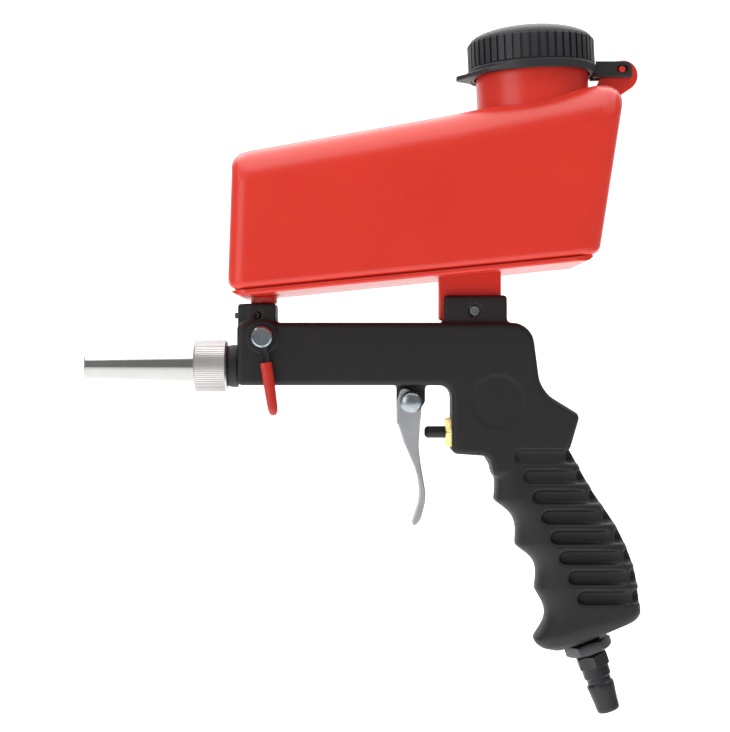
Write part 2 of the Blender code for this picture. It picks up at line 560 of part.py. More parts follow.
def make_media_valve():
    """The rotary spindle under the spout, its seals, and the lever with its vinyl sleeve."""
    place = (MEDIA_PLACE, 0, SPINDLE_HEIGHT)
    r = SPINDLE_RADIUS / MM
    near, far = -(BODY_HALF_WIDTH / MM), BODY_HALF_WIDTH / MM
    profile = [(0, near - 5.2), (4.35, near - 5.2), (4.75, near - 4.8), (4.75, near - 3.4),
               (2.6, near - 3.4),
               (2.6, near - 1.5), (r, near - 1.5)]
    for groove in (-8.6, 7.6):
        profile += [(r, groove), (r - 1.1, groove), (r - 1.1, groove + 1.4), (r, groove + 1.4)]
    profile += [(r, far + 0.5), (2.6, far + 0.5), (2.6, far + 1.3), (3.4, far + 1.3), (3.4, far + 2.2),
                (0, far + 2.2)]
    spindle = turned_object("media_spindle", profile, "zinc_plated_steel", place, ALONG_Y, 16)
    drill(spindle, "spindle_port", (MEDIA_PLACE, 0, 0), (MEDIA_PLACE, 0, 25 * MM), 2.8 * MM, 16)
    for name, middle in (("front_spindle_seal", -7.9), ("rear_spindle_seal", 8.3)):
        ring = [(3.85 + 0.38 * math.cos(a), middle + 0.38 * math.sin(a))
                for a in (math.tau * k / 6 for k in range(6))]
        turned_object(name, ring, "black_rubber", place, ALONG_Y, 16)
    turned_object("spindle_washer", ((4.9, far + 0.3), (6.6, far + 0.3), (6.6, far + 0.9),
                                     (4.9, far + 0.9)),
                  "zinc_plated_steel", place, ALONG_Y, 20)
    clip = turned_object("spindle_clip", ((2.9, far + 0.8), (4.6, far + 0.8), (4.6, far + 1.0),
                                          (2.9, far + 1.0)),
                         "spring_steel", place, ALONG_Y, 20)
    x, z = place[0], place[2]
    carve(clip, block((x - 1.6 * MM, 10 * MM, z - 8 * MM), (x + 1.6 * MM, 20 * MM, z)), "clip_mouth")
    lever_y = near - 2.45
    half = LEVER_WIDTH / MM / 2
    length = LEVER_LENGTH / MM
    bar = loft([[(px * MM, (lever_y + dy) * MM, pz * MM) for px, pz in
                 ((-half, 0), (-half, -length), (half, -length), (half, 0))] for dy in (-0.65, 0.65)])
    tilt = Matrix.Rotation(-LEVER_LEAN, 4, "Y")
    lever = add_object("valve_lever", mesh_from(bar, "valve_lever", tilt), "black_oxide_steel", place)
    eye = turned(((2.9, lever_y - 0.65), (4.5, lever_y - 0.65), (4.5, lever_y + 0.65),
                  (2.9, lever_y + 0.65)), 20)
    eye_object = hide(add_object("lever_eye", mesh_from(eye, "lever_eye", facing(ALONG_Y)), None, place))
    combine(lever, eye_object, "UNION")
    drill(lever, "lever_hole", (x, -20 * MM, z), (x, -12 * MM, z), 2.9 * MM, 20)
    groove = loft([[(px * MM, py * MM, pz * MM) for px,
                    pz in ((-1, -5.2), (-1, -14.5), (1, -14.5), (1, -5.2))]
                   for py in (lever_y - 2, lever_y - 0.2)])
    groove_object = add_object("lever_groove", mesh_from(groove, "lever_groove", tilt), None, place)
    combine(lever, hide(groove_object))
    rings = []
    for depth, wide, thick in ((-11.8, 2.65, 2.2), (-12.2, 2.75, 2.3), (-24, 2.55, 2.15), (-33, 2.2, 1.95),
                               (-34.6, 1.7, 1.6), (-35.6, 0.8, 0.9)):
        ring = []
        for k in range(16):
            a = math.tau * k / 16
            ring.append((wide * math.copysign(abs(math.cos(a)) ** 0.7, math.cos(a)) * MM,
                         (lever_y + thick * math.copysign(abs(math.sin(a)) ** 0.7,
                                                          math.sin(a))) * MM, depth * MM))
        rings.append(ring)
    sleeve = add_object("lever_sleeve", mesh_from(loft(rings), "lever_sleeve", tilt), "red_vinyl", place)
    pocket = loft([[(px * MM, (lever_y + dy) * MM, pz * MM) for px, pz in
                    ((-half - 0.2, -10), (-half - 0.2, -length - 0.4), (half + 0.2, -length - 0.4),
                     (half + 0.2, -10))]
                   for dy in (-0.85, 0.85)])
    pocket_object = add_object("sleeve_pocket", mesh_from(pocket, "sleeve_pocket", tilt), None, place)
    combine(sleeve, hide(pocket_object))


def make_fixings():
    """The two grub screws that hold the spout and the pin that holds the hopper's tongue."""
    x, z = SIDE_SCREW_PLACE
    r = GRUB_RADIUS / MM
    grub = ((0, 0), (r - 0.4, 0), (r, 0.4), (r, 4.4), (0.75, 4.4), (0.75, 3.2), (0, 3.2))
    turned_object("side_grub_screw", grub, "black_oxide_steel", (x, -5.6 * MM, z), -ALONG_Y, 12)
    turned_object("front_grub_screw", grub, "black_oxide_steel", (4.3 * MM, 0, FRONT_SCREW_HEIGHT),
                  -ALONG_X, 12)
    x, z = BRACKET_PIN_PLACE
    r, half = BRACKET_PIN_RADIUS / MM, BRACKET_HALF_WIDTH / MM
    turned_object("bracket_pin", ((0, half - 0.2), (r - 0.3, half - 0.2), (r, half - 0.5), (r, -half + 0.1),
                                  (r - 0.2, -half - 0.1), (1.5, -half - 0.1), (1.5, -half + 2.5), (0,
                                                                                                   -half + 2.5)),
                  "zinc_plated_steel", (x, 0, z), ALONG_Y, 20)


def make_hopper():
    """The hopper's shell with its neck and hinge lug, and the tray that closes it with spout and tongue."""
    shell = crowned(HOPPER_CORNERS, HOPPER_EDGE_RADII, HOPPER_HALF_WIDTH, corner_steps=3, edge_steps=4)
    hopper = add_object("hopper_shell", mesh_from(shell, "hopper_shell"), "red_hopper_plastic")
    neck_root, neck_top = NECK_BASE + NECK_DIRECTION * NECK_ROOT, NECK_BASE + NECK_DIRECTION * NECK_TOP
    combine(hopper, rod("neck", neck_root, neck_top, NECK_RADIUS, 36), "UNION")
    join(hopper, plate(LUG_OUTLINE, -LUG_HALF_WIDTH, LUG_HALF_WIDTH), "cap_lug")
    combine(hopper, rod("trunnion", CAP_HINGE - ALONG_Y * 5.9 * MM, CAP_HINGE + ALONG_Y * 5.9 * MM,
                        1.5 * MM, 14),
            "UNION")
    wall = HOPPER_WALL
    hollow = inset(HOPPER_CORNERS, (-6.0, wall, wall, wall, wall))
    hollow_radii = [max(r - wall, 0.6) for r in HOPPER_EDGE_RADII]
    carve(hopper, crowned(hollow, hollow_radii, HOPPER_HALF_WIDTH - wall, corner_steps=2, edge_steps=3),
          "hollow")
    drill(hopper, "neck_bore", neck_root, neck_top + UP * 5 * MM, NECK_BORE_RADIUS, 36)
    tray = crowned(TRAY_CORNERS, TRAY_EDGE_RADII, TRAY_HALF_WIDTH, corner_steps=2, edge_steps=3)
    base = add_object("hopper_tray", mesh_from(tray, "hopper_tray"), "red_hopper_plastic")
    upstand = crowned(UPSTAND_CORNERS, UPSTAND_EDGE_RADII, UPSTAND_HALF_WIDTH, corner_steps=1, edge_steps=2)
    join(base, upstand, "tray_upstand")
    x = MEDIA_PLACE / MM
    socket = SPOUT_SOCKET_RADIUS / MM - 0.3
    shoulder = TURRET_TOP / MM + 0.3
    spout = turned(((0, 19.7), (socket, 19.7), (socket, shoulder), (6.05, shoulder), (6.05, 31.0),
                    (7.2, 32.6),
                    (7.2, 34.0), (0, 34.0)), 28)
    join_at(base, spout, "spout", (x * MM, 0, 0))
    join(base, plate(TONGUE_OUTLINE, -TONGUE_HALF_WIDTH, TONGUE_HALF_WIDTH), "tongue")
    drill(base, "spout_bore", (MEDIA_PLACE, 0, 10 * MM), (MEDIA_PLACE, 0, 50 * MM), 3.4 * MM, 20)
    carve(base, turned_at(((0, 33.0), (4.0, 33.0), (9.0, 36.5), (9.0, 45.0), (0, 45.0)), 20, MEDIA_PLACE),
          "spout_funnel")
    px, pz = BRACKET_PIN_PLACE
    drill(base, "tongue_hole", (px, -10 * MM, pz), (px, 10 * MM, pz), BRACKET_PIN_RADIUS + GAP, 16)
    turned_object("spout_seal", ((4.9, 28.5), (5.9, 28.5), (5.9, 28.6), (4.9, 28.6)), "black_rubber",
                  (MEDIA_PLACE, 0, 0), UP, 20)


def turned_at(profile, segments, x):
    bm = turned(profile, segments)
    bmesh.ops.translate(bm, vec=(x, 0, 0), verts=bm.verts)
    return bm


def join_at(target, bm, name, place):
    """Unites the target with this shape moved to its place."""
    bmesh.ops.translate(bm, vec=place, verts=bm.verts)
    join(target, bm, name)


def make_cap():
    """The carrier ring with its hinge arms and thumb tab, the ribbed screw cap and its gasket."""
    bottom, top = RING_BOTTOM / MM, RING_TOP / MM
    outer, bore = RING_RADIUS / MM, RING_BORE_RADIUS / MM
    offset = NECK_BASE - CAP_HINGE
    to_neck = Matrix.Translation(offset) @ facing(NECK_DIRECTION)
    ring_bm = turned(((bore - 1, bottom), (outer - 0.3, bottom), (outer, bottom + 0.3), (outer, top - 0.3),
                      (outer - 0.3, top), (bore - 1, top)), 40)
    ring = add_object("cap_carrier_ring", mesh_from(ring_bm, "cap_carrier_ring", to_neck),
                      "black_cap_plastic",
                      CAP_HINGE)
    for name, low, high in (("near_arm", -6.2, -2.8), ("far_arm", 2.8, 6.2)):
        join(ring, plate(ARM_OUTLINE, low * MM, high * MM, steps=3), name)
    tab = loft([[(x * MM, y * MM, z * MM) for x, y in TAB_PLAN] for z in (bottom + 0.2, bottom + 2.2)])
    tab_object = add_object("thumb_tab", mesh_from(tab, "thumb_tab", to_neck), None, CAP_HINGE)
    combine(ring, hide(tab_object), "UNION")
    clear = CAP_RADIUS / MM + 0.35
    bore_tool = turned(((0, bottom - 9), (bore, bottom - 9), (bore, top + 0.05), (clear, top + 0.05),
                        (clear, top + 9), (0, top + 9)), 40)
    bore_object = add_object("ring_bore", mesh_from(bore_tool, "ring_bore", to_neck), None, CAP_HINGE)
    combine(ring, hide(bore_object))
    for side in (-1, 1):
        slot = ((173.7, 133.75, 1.7), (178.9, 133.75, 1.7), (178.9, 137.25, 1.7), (173.7, 137.25, 1.7))
        low, high = sorted((side * 2 * MM, side * 8 * MM))
        carve(ring, plate(slot, low, high, steps=3), f"arm_slot_{side + 1}")
    r, inner, shoulder = CAP_RADIUS / MM, CAP_BORE_RADIUS / MM, CAP_SHOULDER / MM
    lower = top + 0.3
    crown = [(r * 0.985 * math.cos(a), shoulder + 0.2 + CAP_CROWN / MM * math.sin(a)) for a in
             (math.pi / 2 * k / 5 for k in range(5))]
    profile = [(0, shoulder + CAP_CROWN / MM)] + crown[::-1] + [(r, shoulder - 0.2), (r, lower),
                                                                (27.7, lower),
               (27.7, bottom + 0.3), (inner, bottom + 0.3), (inner, 22.6), (0, 22.6)]
    cap = turned(profile, CAP_FLUTE_COUNT * 2)
    flute(cap, CAP_FLUTE_COUNT, CAP_RADIUS - 0.1 * MM, 0.5 * MM)
    add_object("screw_cap", mesh_from(cap, "screw_cap", facing(NECK_DIRECTION)), "black_cap_plastic",
               NECK_BASE)
    turned_object("cap_gasket", ((22.0, 20.7), (26.2, 20.7), (26.2, 22.3), (22.0, 22.3)), "black_rubber",
                  NECK_BASE, NECK_DIRECTION, 36)


def make_trigger():
    """The cast trigger, its pivot screw and nut."""
    pivot = TRIGGER_PIVOT
    inner, outer = TRIGGER_LUG_HALF_WIDTH + GAP, EAR_OUTER_HALF_WIDTH
    rings = [(-BLADE_HALF_WIDTH, 0.9), (-BLADE_HALF_WIDTH + 1 * MM, 0), (BLADE_HALF_WIDTH - 1 * MM, 0),
             (BLADE_HALF_WIDTH, 0.9)]
    blade = loft([[(p[0] - pivot[0], y, p[1] - pivot[2]) for p in
                   rounded(inset(BLADE_OUTLINE, [sunk] * len(BLADE_OUTLINE)), 3)] for y, sunk in rings])
    trigger = add_object("trigger", mesh_from(blade, "trigger"), "cast_trigger_metal", pivot)
    for name, low, high in (("near_ear", -outer, -inner), ("far_ear", inner, outer)):
        join(trigger, plate(EAR_OUTLINE, low, high, steps=3), name)
    carve(trigger, block((70 * MM, -inner, -24.0 * MM), (90 * MM, inner, 0)), "ear_gap")
    drill(trigger, "ear_hole", pivot - ALONG_Y * 12 * MM, pivot + ALONG_Y * 12 * MM, 2.8 * MM, 16)
    face = outer / MM + 0.3
    turned_object("pivot_screw", ((0, face + 2.6), (1.8, face + 2.4), (3.6, face + 1.6), (5.0, face + 0.6),
                                  (5.15, face),
                                  (2.5, face), (2.5, -face - 2.3), (2.2, -face - 2.6), (0, -face - 2.6)),
                  "zinc_plated_steel", pivot, -ALONG_Y, 28)
    nut = prism(6, 4.6 * MM, outer + GAP, outer + GAP + 2.0 * MM)
    nut_object = add_object("pivot_nut", mesh_from(nut, "pivot_nut", facing(ALONG_Y)), "zinc_plated_steel",
                            pivot)
    drill(nut_object, "nut_bore", pivot, pivot + ALONG_Y * 15 * MM, 2.8 * MM, 16)


def make_push_valve():
    """The air valve behind the trigger: brass bush, washer, push pin, seat seal, poppet and spring."""
    place = (0, 0, VALVE_HEIGHT)
    bush = turned_object("valve_bush", ((3.05, 95.8), (6.3, 95.8), (6.3, 99.0), (4.9, 99.0), (4.9, 113.4),
                                        (4.0, 113.4),
                                        (4.0, 104.2), (3.05, 104.2)), "brass", place, ALONG_X, 24)
    hexagon = prism(6, 6.6 * MM / math.cos(math.pi / 6), 95.6 * MM, 99.1 * MM, spin=math.pi / 6)
    hex_object = hide(add_object("bush_hexagon", mesh_from(hexagon, "bush_hexagon", facing(ALONG_X)), None,
                                 place))
    combine(bush, hex_object, "UNION")
    drill(bush, "bush_bore", (90 * MM, 0, VALVE_HEIGHT), (104.2 * MM, 0, VALVE_HEIGHT), 3.05 * MM, 24)
    drill(bush, "bush_port", (RISER_PLACE, 0, VALVE_HEIGHT), (RISER_PLACE, 0, VALVE_HEIGHT + 9 * MM),
          1.6 * MM, 10)
    turned_object("valve_washer", ((5.3, 99.4), (7.9, 99.4), (7.9, 101.2), (5.3, 101.2)), "black_rubber",
                  place,
                  ALONG_X, 28)
    tip = PIN_TIP / MM
    turned_object("push_pin", ((0, tip), (1.9, tip), (2.75, tip + 1.1), (2.75, 104.5), (3.7, 104.5),
                               (3.7, 106.0),
                               (1.5, 106.0), (1.5, 113.8), (0,
                                                            113.8)), "black_oxide_steel", place, ALONG_X, 20)
    turned_object("valve_seat_seal", ((3.0, 113.7), (4.9, 113.7), (4.9, 114.5), (3.0, 114.5)),
                  "black_rubber", place,
                  ALONG_X, 20)
    turned_object("valve_poppet", ((0, 114.1), (2.4, 114.1), (2.4, 114.8), (4.3, 114.8), (4.3, 116.4),
                                   (1.6, 116.4),
                                   (1.6, 118.0), (0, 118.0)), "brass", place, ALONG_X, 20)
    make_spring(Vector((0, 0, VALVE_HEIGHT)), 123.8, 128.2)


def make_spring(centre, start, end):
    """The poppet's return spring, a close coil along X between two places in mm."""
    turns, steps, sides, coil, wire = 4.0, 10, 5, 3.4, 0.35
    count = int(turns * steps)
    rings = []
    for k in range(count + 1):
        angle = math.tau * k / steps
        middle = Vector((start + wire + (end - start - 2 * wire) * k / count, coil * math.cos(angle),
                         coil * math.sin(angle)))
        outward = Vector((0, math.cos(angle), math.sin(angle)))
        rings.append([(middle + outward * wire * math.cos(a) + ALONG_X * wire * math.sin(a)) * MM
                      for a in (math.tau * j / sides for j in range(sides))])
    add_object("valve_spring", mesh_from(loft(rings), "valve_spring"), "spring_steel", centre)


def make_inlet():
    """The quick plug in the butt of the grip and the thin nut that locks it."""
    direction = INLET_DIRECTION
    pilot, thread = PLUG_BORE_RADIUS / MM - 0.6, INLET_THREAD_RADIUS / MM
    plug = turned_object("air_plug", ((pilot, -21.0), (thread, -21.0), (thread, 0.3), (6.6, 0.3),
                                      (6.6, 5.7),
                                      (6.2, 6.0), (6.2, 10.4), (5.5, 11.0), (5.5, 13.2), (6.3, 14.3), (6.2,
                                                                                                       16.5),
                                      (5.6, 21.5), (5.2, 26.4), (4.9, 27.1), (pilot, 27.1)),
                         "black_oxide_steel", INLET_SOCKET, direction, 24)
    hexagon = prism(6, 6.8 * MM / math.cos(math.pi / 6), 0, 5.8 * MM, spin=math.pi / 6)
    hex_object = add_object("plug_hexagon", mesh_from(hexagon, "plug_hexagon", facing(direction)), None,
                            INLET_SOCKET)
    combine(plug, hide(hex_object), "UNION")
    drill(plug, "plug_bore", INLET_SOCKET - direction * 30 * MM, INLET_SOCKET + direction * 40 * MM,
          PLUG_BORE_RADIUS,
          24)
    nut = prism(6, 10.9 * MM, -6.4 * MM, -1.5 * MM)
    nut_object = add_object("inlet_locknut", mesh_from(nut, "inlet_locknut", facing(direction)),
                            "black_oxide_steel",
                            INLET_SOCKET)
    cone = turned(((0, -6.5), (9.9, -6.5), (11.0, -5.6), (11.0, -2.3), (9.9, -1.4), (0, -1.4)), 24)
    cone_object = add_object("locknut_chamfer", mesh_from(cone, "locknut_chamfer", facing(direction)), None,
                             INLET_SOCKET)
    combine(nut_object, hide(cone_object), "INTERSECT")
    drill(nut_object, "locknut_bore", INLET_SOCKET - direction * 10 * MM, INLET_SOCKET + direction * 5 * MM,
          INLET_THREAD_RADIUS + GAP, 24)
    turned_object("inlet_seal", ((3.9, -21.8), (5.9, -21.8), (5.9, -21.3), (3.9, -21.3)), "brass",
                  INLET_SOCKET,
                  direction, 20)


def main():
    clear_scene()
    root = bpy.data.objects.new("root", None)
    bpy.context.scene.collection.objects.link(root)
    root.location = -GRIP_CENTRE
    make_body()
    make_nozzle()
    make_media_valve()
    make_fixings()
    make_hopper()
    make_cap()
    make_trigger()
    make_push_valve()
    make_inlet()


main()
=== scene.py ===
"""Looks of a hand-held blast gun: powder-coated cast body, red hopper, steel nozzle and fittings.

Every piece is modelled here in millimetres in the gun's own frame, whose origin is on the bore's
axis at the front of the body, with +X towards the grip, +Y away from the lever and +Z up. The
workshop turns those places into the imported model's frame, taken from where its nodes are.
"""

from __future__ import annotations

import logging
import math
from collections.abc import Callable, Iterator, Sequence
from contextlib import contextmanager
from dataclasses import dataclass, field
from enum import Enum
from itertools import pairwise

import bmesh
import bpy
from mathutils import Euler, Matrix, Vector


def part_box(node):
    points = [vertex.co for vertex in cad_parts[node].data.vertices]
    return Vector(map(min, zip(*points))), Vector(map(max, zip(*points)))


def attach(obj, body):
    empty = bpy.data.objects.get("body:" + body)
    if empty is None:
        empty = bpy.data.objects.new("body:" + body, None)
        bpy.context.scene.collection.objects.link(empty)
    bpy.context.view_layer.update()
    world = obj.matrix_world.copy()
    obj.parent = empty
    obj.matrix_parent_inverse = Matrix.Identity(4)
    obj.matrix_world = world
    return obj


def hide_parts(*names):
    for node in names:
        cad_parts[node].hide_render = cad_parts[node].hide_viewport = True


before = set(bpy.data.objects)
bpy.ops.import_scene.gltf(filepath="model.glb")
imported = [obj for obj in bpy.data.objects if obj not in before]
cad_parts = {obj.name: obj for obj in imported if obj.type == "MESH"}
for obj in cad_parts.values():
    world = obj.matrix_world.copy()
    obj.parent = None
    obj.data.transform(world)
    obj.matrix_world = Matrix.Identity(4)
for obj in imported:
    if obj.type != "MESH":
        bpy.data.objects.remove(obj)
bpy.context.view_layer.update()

log = logging.getLogger("blast_gun")

MM = 0.001
Point = tuple[float, float]
Corner = tuple[float, float, float]


class Axis(Enum):
    """Directions that turned pieces are laid along."""

    X = (1.0, 0.0, 0.0)
    Y = (0.0, 1.0, 0.0)
    Z = (0.0, 0.0, 1.0)


# ---------------------------------------------------------------------------------------------
# Workshop: operator helpers
# ---------------------------------------------------------------------------------------------


def nothing_selected() -> None:
    """Leaves object mode's selection empty."""
    bpy.ops.object.select_all(action="DESELECT")


def pick(piece: bpy.types.Object) -> None:
    """Makes this the only selected object, and the active one.

    Args:
        piece: the object that the next operators act on.
    """
    nothing_selected()
    bpy.context.view_layer.objects.active = piece
    piece.select_set(True)


@contextmanager
def editing(piece: bpy.types.Object) -> Iterator[None]:
    """Edit mode on one piece, and object mode again afterwards.

    Args:
        piece: the object to edit.
    """
    pick(piece)
    bpy.ops.object.mode_set(mode="EDIT")
    yield
    bpy.ops.object.mode_set(mode="OBJECT")


def choose(
    piece: bpy.types.Object,
    face: Callable[[bmesh.types.BMFace], bool] | None = None,
    edge: Callable[[bmesh.types.BMEdge], bool] | None = None,
    vert: Callable[[bmesh.types.BMVert], bool] | None = None,
) -> None:
    """Selects parts of a piece that is in edit mode, by a test on each.

    Args:
        piece: the object in edit mode.
        face: true for each face to select.
        edge: true for each edge to select.
        vert: true for each point to select.
    """
    mode = ("FACE" if face else "EDGE" if edge else "VERT",)
    bpy.ops.mesh.select_mode(type=mode[0])
    bpy.ops.mesh.select_all(action="DESELECT")
    mesh = bmesh.from_edit_mesh(piece.data)
    for test, items in ((face, mesh.faces), (edge, mesh.edges), (vert, mesh.verts)):
        if test:
            for item in items:
                if test(item):
                    item.select_set(True)
    mesh.select_flush_mode()
    bmesh.update_edit_mesh(piece.data)


def apply_modifier(piece: bpy.types.Object, kind: str, **settings: object) -> None:
    """Adds a modifier with these settings and applies it.

    Args:
        piece: the object to change.
        kind: the modifier's type.
        settings: its properties.
    """
    pick(piece)
    step = piece.modifiers.new(kind.lower(), kind)
    for key, value in settings.items():
        setattr(step, key, value)
    bpy.ops.object.modifier_apply(modifier=step.name)


def combine(piece: bpy.types.Object, tool: bpy.types.Object, operation: str) -> None:
    """Applies a Boolean with a tool object and removes the tool.

    Args:
        piece: the object that stays.
        tool: the object that is used up.
        operation: UNION, DIFFERENCE or INTERSECT.
    """
    apply_modifier(piece, "BOOLEAN", object=tool, operation=operation, solver="EXACT")
    bpy.data.objects.remove(tool)


def soften(
    piece: bpy.types.Object, width: float, segments: int = 2, angle: float = 35.0
) -> None:
    """Rounds every edge sharper than an angle.

    Args:
        piece: the object to change.
        width: the rounding's reach in millimetres.
        segments: how many facets the rounding has.
        angle: the least angle in degrees between two faces whose edge is rounded.
    """
    apply_modifier(
        piece,
        "BEVEL",
        width=width * MM,
        segments=segments,
        limit_method="ANGLE",
        angle_limit=math.radians(angle),
        use_clamp_overlap=True,
        harden_normals=False,
    )


def tidy(piece: bpy.types.Object, angle: float = 30.0) -> None:
    """Merges doubles, turns faces outwards and shades the piece smooth up to an angle.

    Args:
        piece: the object to finish.
        angle: the largest angle in degrees that still shades smooth.
    """
    with editing(piece):
        bpy.ops.mesh.select_all(action="SELECT")
        bpy.ops.mesh.remove_doubles(threshold=1e-6)
        bpy.ops.mesh.normals_make_consistent(inside=False)
    pick(piece)
    bpy.ops.object.shade_smooth_by_angle(angle=math.radians(angle))


def settle(
    piece: bpy.types.Object, place: Vector | None = None, turn: Euler | None = None
) -> None:
    """Moves and turns a piece, then puts that into its mesh so that its object is at the origin.

    Args:
        piece: the object to place.
        place: where its origin goes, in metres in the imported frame.
        turn: how it is turned first.
    """
    piece.location = place or Vector()
    piece.rotation_euler = turn or Euler()
    pick(piece)
    bpy.ops.object.transform_apply(location=True, rotation=True, scale=True)


def turned(name: str, stations: Sequence[Point], segments: int, solid: bool) -> bpy.types.Object:
    """Turns a profile about Z by extruding and scaling a circle from station to station.

    Args:
        name: the new object's name.
        stations: (radius, height) in millimetres. A hollow piece's profile closes on its start.
        segments: how many sides the circle has.
        solid: true for a filled bar, false for a ring.

    Returns:
        The object, with its axis on Z through the origin.
    """
    nothing_selected()
    radius, height = stations[0]
    bpy.ops.mesh.primitive_circle_add(
        vertices=segments, radius=radius * MM, fill_type="NGON" if solid else "NOTHING"
    )
    piece = bpy.context.object
    piece.name = name
    path = list(stations) if solid else [*stations, stations[0]]
    with editing(piece):
        bpy.ops.mesh.select_all(action="SELECT")
        bpy.ops.transform.translate(value=(0, 0, height * MM))
        for (r0, h0), (r1, h1) in pairwise(path):
            if solid:
                bpy.ops.mesh.extrude_region_move()
            else:
                bpy.ops.mesh.extrude_edges_move()
            bpy.ops.transform.translate(value=(0, 0, (h1 - h0) * MM))
            size = r1 / r0
            bpy.ops.transform.resize(value=(size, size, 1), center_override=(0, 0, h1 * MM))
    tidy(piece)
    return piece


def plate(
    name: str,
    corners: Sequence[Corner],
    low: float,
    high: float,
    segments: int = 6,
) -> bpy.types.Object:
    """Cuts a plate to an outline in the side view and rounds its corners.

    Args:
        name: the new object's name.
        corners: (x, z, corner radius) in millimetres, in order round the outline.
        low: the near face's y in millimetres.
        high: the far face's y.
        segments: how many facets each rounded corner has.

    Returns:
        The object, in the gun's own frame.
    """
    nothing_selected()
    bpy.ops.mesh.primitive_circle_add(vertices=len(corners), radius=MM, fill_type="NGON")
    piece = bpy.context.object
    piece.name = name
    with editing(piece):
        mesh = bmesh.from_edit_mesh(piece.data)
        mesh.verts.ensure_lookup_table()
        for vert, (x, z, _) in zip(mesh.verts, corners):
            vert.co = Vector((x, low, z)) * MM
        bmesh.update_edit_mesh(piece.data)
        bpy.ops.mesh.select_all(action="SELECT")
        bpy.ops.mesh.extrude_region_move(
            TRANSFORM_OT_translate={"value": (0, (high - low) * MM, 0)}
        )
        for i, (x, z, radius) in enumerate(corners):
            if not radius:
                continue
            here = Vector((x, z))
            back = Vector(corners[i - 1][:2]) - here
            ahead = Vector(corners[(i + 1) % len(corners)][:2]) - here
            reach = radius / math.tan(back.angle(ahead) / 2)
            spot = here * MM
            choose(
                piece,
                edge=lambda e, spot=spot: all(
                    (Vector((v.co.x, v.co.z)) - spot).length < 1e-6 for v in e.verts
                ),
            )
            bpy.ops.mesh.bevel(
                offset=reach * MM, segments=segments, affect="EDGES", clamp_overlap=False
            )
    tidy(piece)
    return piece


def round_rims(
    piece: bpy.types.Object, low: float, high: float, radius: float, segments: int = 4
) -> None:
    """Rounds the edges of a plate where it meets its two flat faces.

    Args:
        piece: a plate.
        low: the near face's y in millimetres.
        high: the far face's y.
        radius: the rounding's radius in millimetres.
        segments: how many facets it has.
    """
    with editing(piece):
        choose(
            piece,
            edge=lambda e: any(
                all(abs(v.co.y - side * MM) < 1e-6 for v in e.verts) for side in (low, high)
            ),
        )
        bpy.ops.mesh.bevel(
            offset=radius * MM, segments=segments, affect="EDGES", clamp_overlap=False
        )


def bar(
    name: str, place: Sequence[float], direction: Vector, radius: float, length: float
) -> bpy.types.Object:
    """A round bar for drilling or joining, in the gun's own frame.

    Args:
        name: the new object's name.
        place: its first end's centre in millimetres.
        direction: where it points.
        radius: in millimetres.
        length: in millimetres.

    Returns:
        The object.
    """
    piece = turned(name, ((radius, 0), (radius, length)), 64, solid=True)
    settle(piece, Vector(place) * MM, direction.to_track_quat("Z", "Y").to_euler())
    return piece


def brick(name: str, low: Sequence[float], high: Sequence[float]) -> bpy.types.Object:
    """A box between two corners in millimetres, for cutting.

    Args:
        name: the new object's name.
        low: the lowest corner.
        high: the highest corner.

    Returns:
        The object.
    """
    nothing_selected()
    middle = (Vector(low) + Vector(high)) / 2
    bpy.ops.mesh.primitive_cube_add(size=1, location=middle * MM)
    piece = bpy.context.object
    piece.name = name
    piece.scale = (Vector(high) - Vector(low)) * MM
    bpy.ops.object.transform_apply(location=True, rotation=True, scale=True)
    return piece


@dataclass(frozen=True)
class Workshop:
    """Where the gun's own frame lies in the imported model."""

    bore_tip: float = 70.3

    @property
    def origin(self) -> Vector:
        """The gun frame's origin: on the nozzle's axis, one nozzle length behind its tip."""
        low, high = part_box("nozzle")
        return Vector((low.x + self.bore_tip * MM, (low.y + high.y) / 2, (low.z + high.z) / 2))

    def deliver(
        self,
        piece: bpy.types.Object,
        body: str,
        slot: str,
        material: bpy.types.Material,
        nodes: Sequence[str],
    ) -> None:
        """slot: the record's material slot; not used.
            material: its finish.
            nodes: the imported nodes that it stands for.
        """
        settle(piece, self.origin)
        piece.data.materials.clear()
        piece.data.materials.append(material)
        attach(piece, body)
        if nodes:
            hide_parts(*nodes)
        log.info("%s: %d faces on %s", piece.name, len(piece.data.polygons), body)


# ---------------------------------------------------------------------------------------------
# Finishes
# ---------------------------------------------------------------------------------------------


def linear(colour: str) -> tuple[float, float, float, float]:
    """Turns an sRGB hex colour into the linear values that shaders take.

    Args:
        colour: six hex digits, with or without a leading #.

    Returns:
        Red, green, blue and an alpha of one.
    """
    digits = colour.lstrip("#")
    channels = [int(digits[i : i + 2], 16) / 255 for i in (0, 2, 4)]
    flat = [c / 12.92 if c <= 0.04045 else ((c + 0.055) / 1.055) ** 2.4 for c in channels]
    return (flat[0], flat[1], flat[2], 1.0)


def add_node(
    tree: bpy.types.NodeTree, kind: str, inputs: dict[str | int, object] | None = None, **settings: object
) -> bpy.types.Node:
    """Adds a shader node with its settings, values and links.

    Args:
        tree: the material's node tree.
        kind: the node's type name without its ShaderNode prefix.
        inputs: for each input's name or number, a value or the output socket that feeds it.
        settings: the node's own properties.

    Returns:
        The new node.
    """
    node = tree.nodes.new("ShaderNode" + kind)
    for key, value in settings.items():
        setattr(node, key, value)
    for key, value in (inputs or {}).items():
        if isinstance(value, bpy.types.NodeSocket):
            tree.links.new(value, node.inputs[key])
        else:
            node.inputs[key].default_value = value
    return node


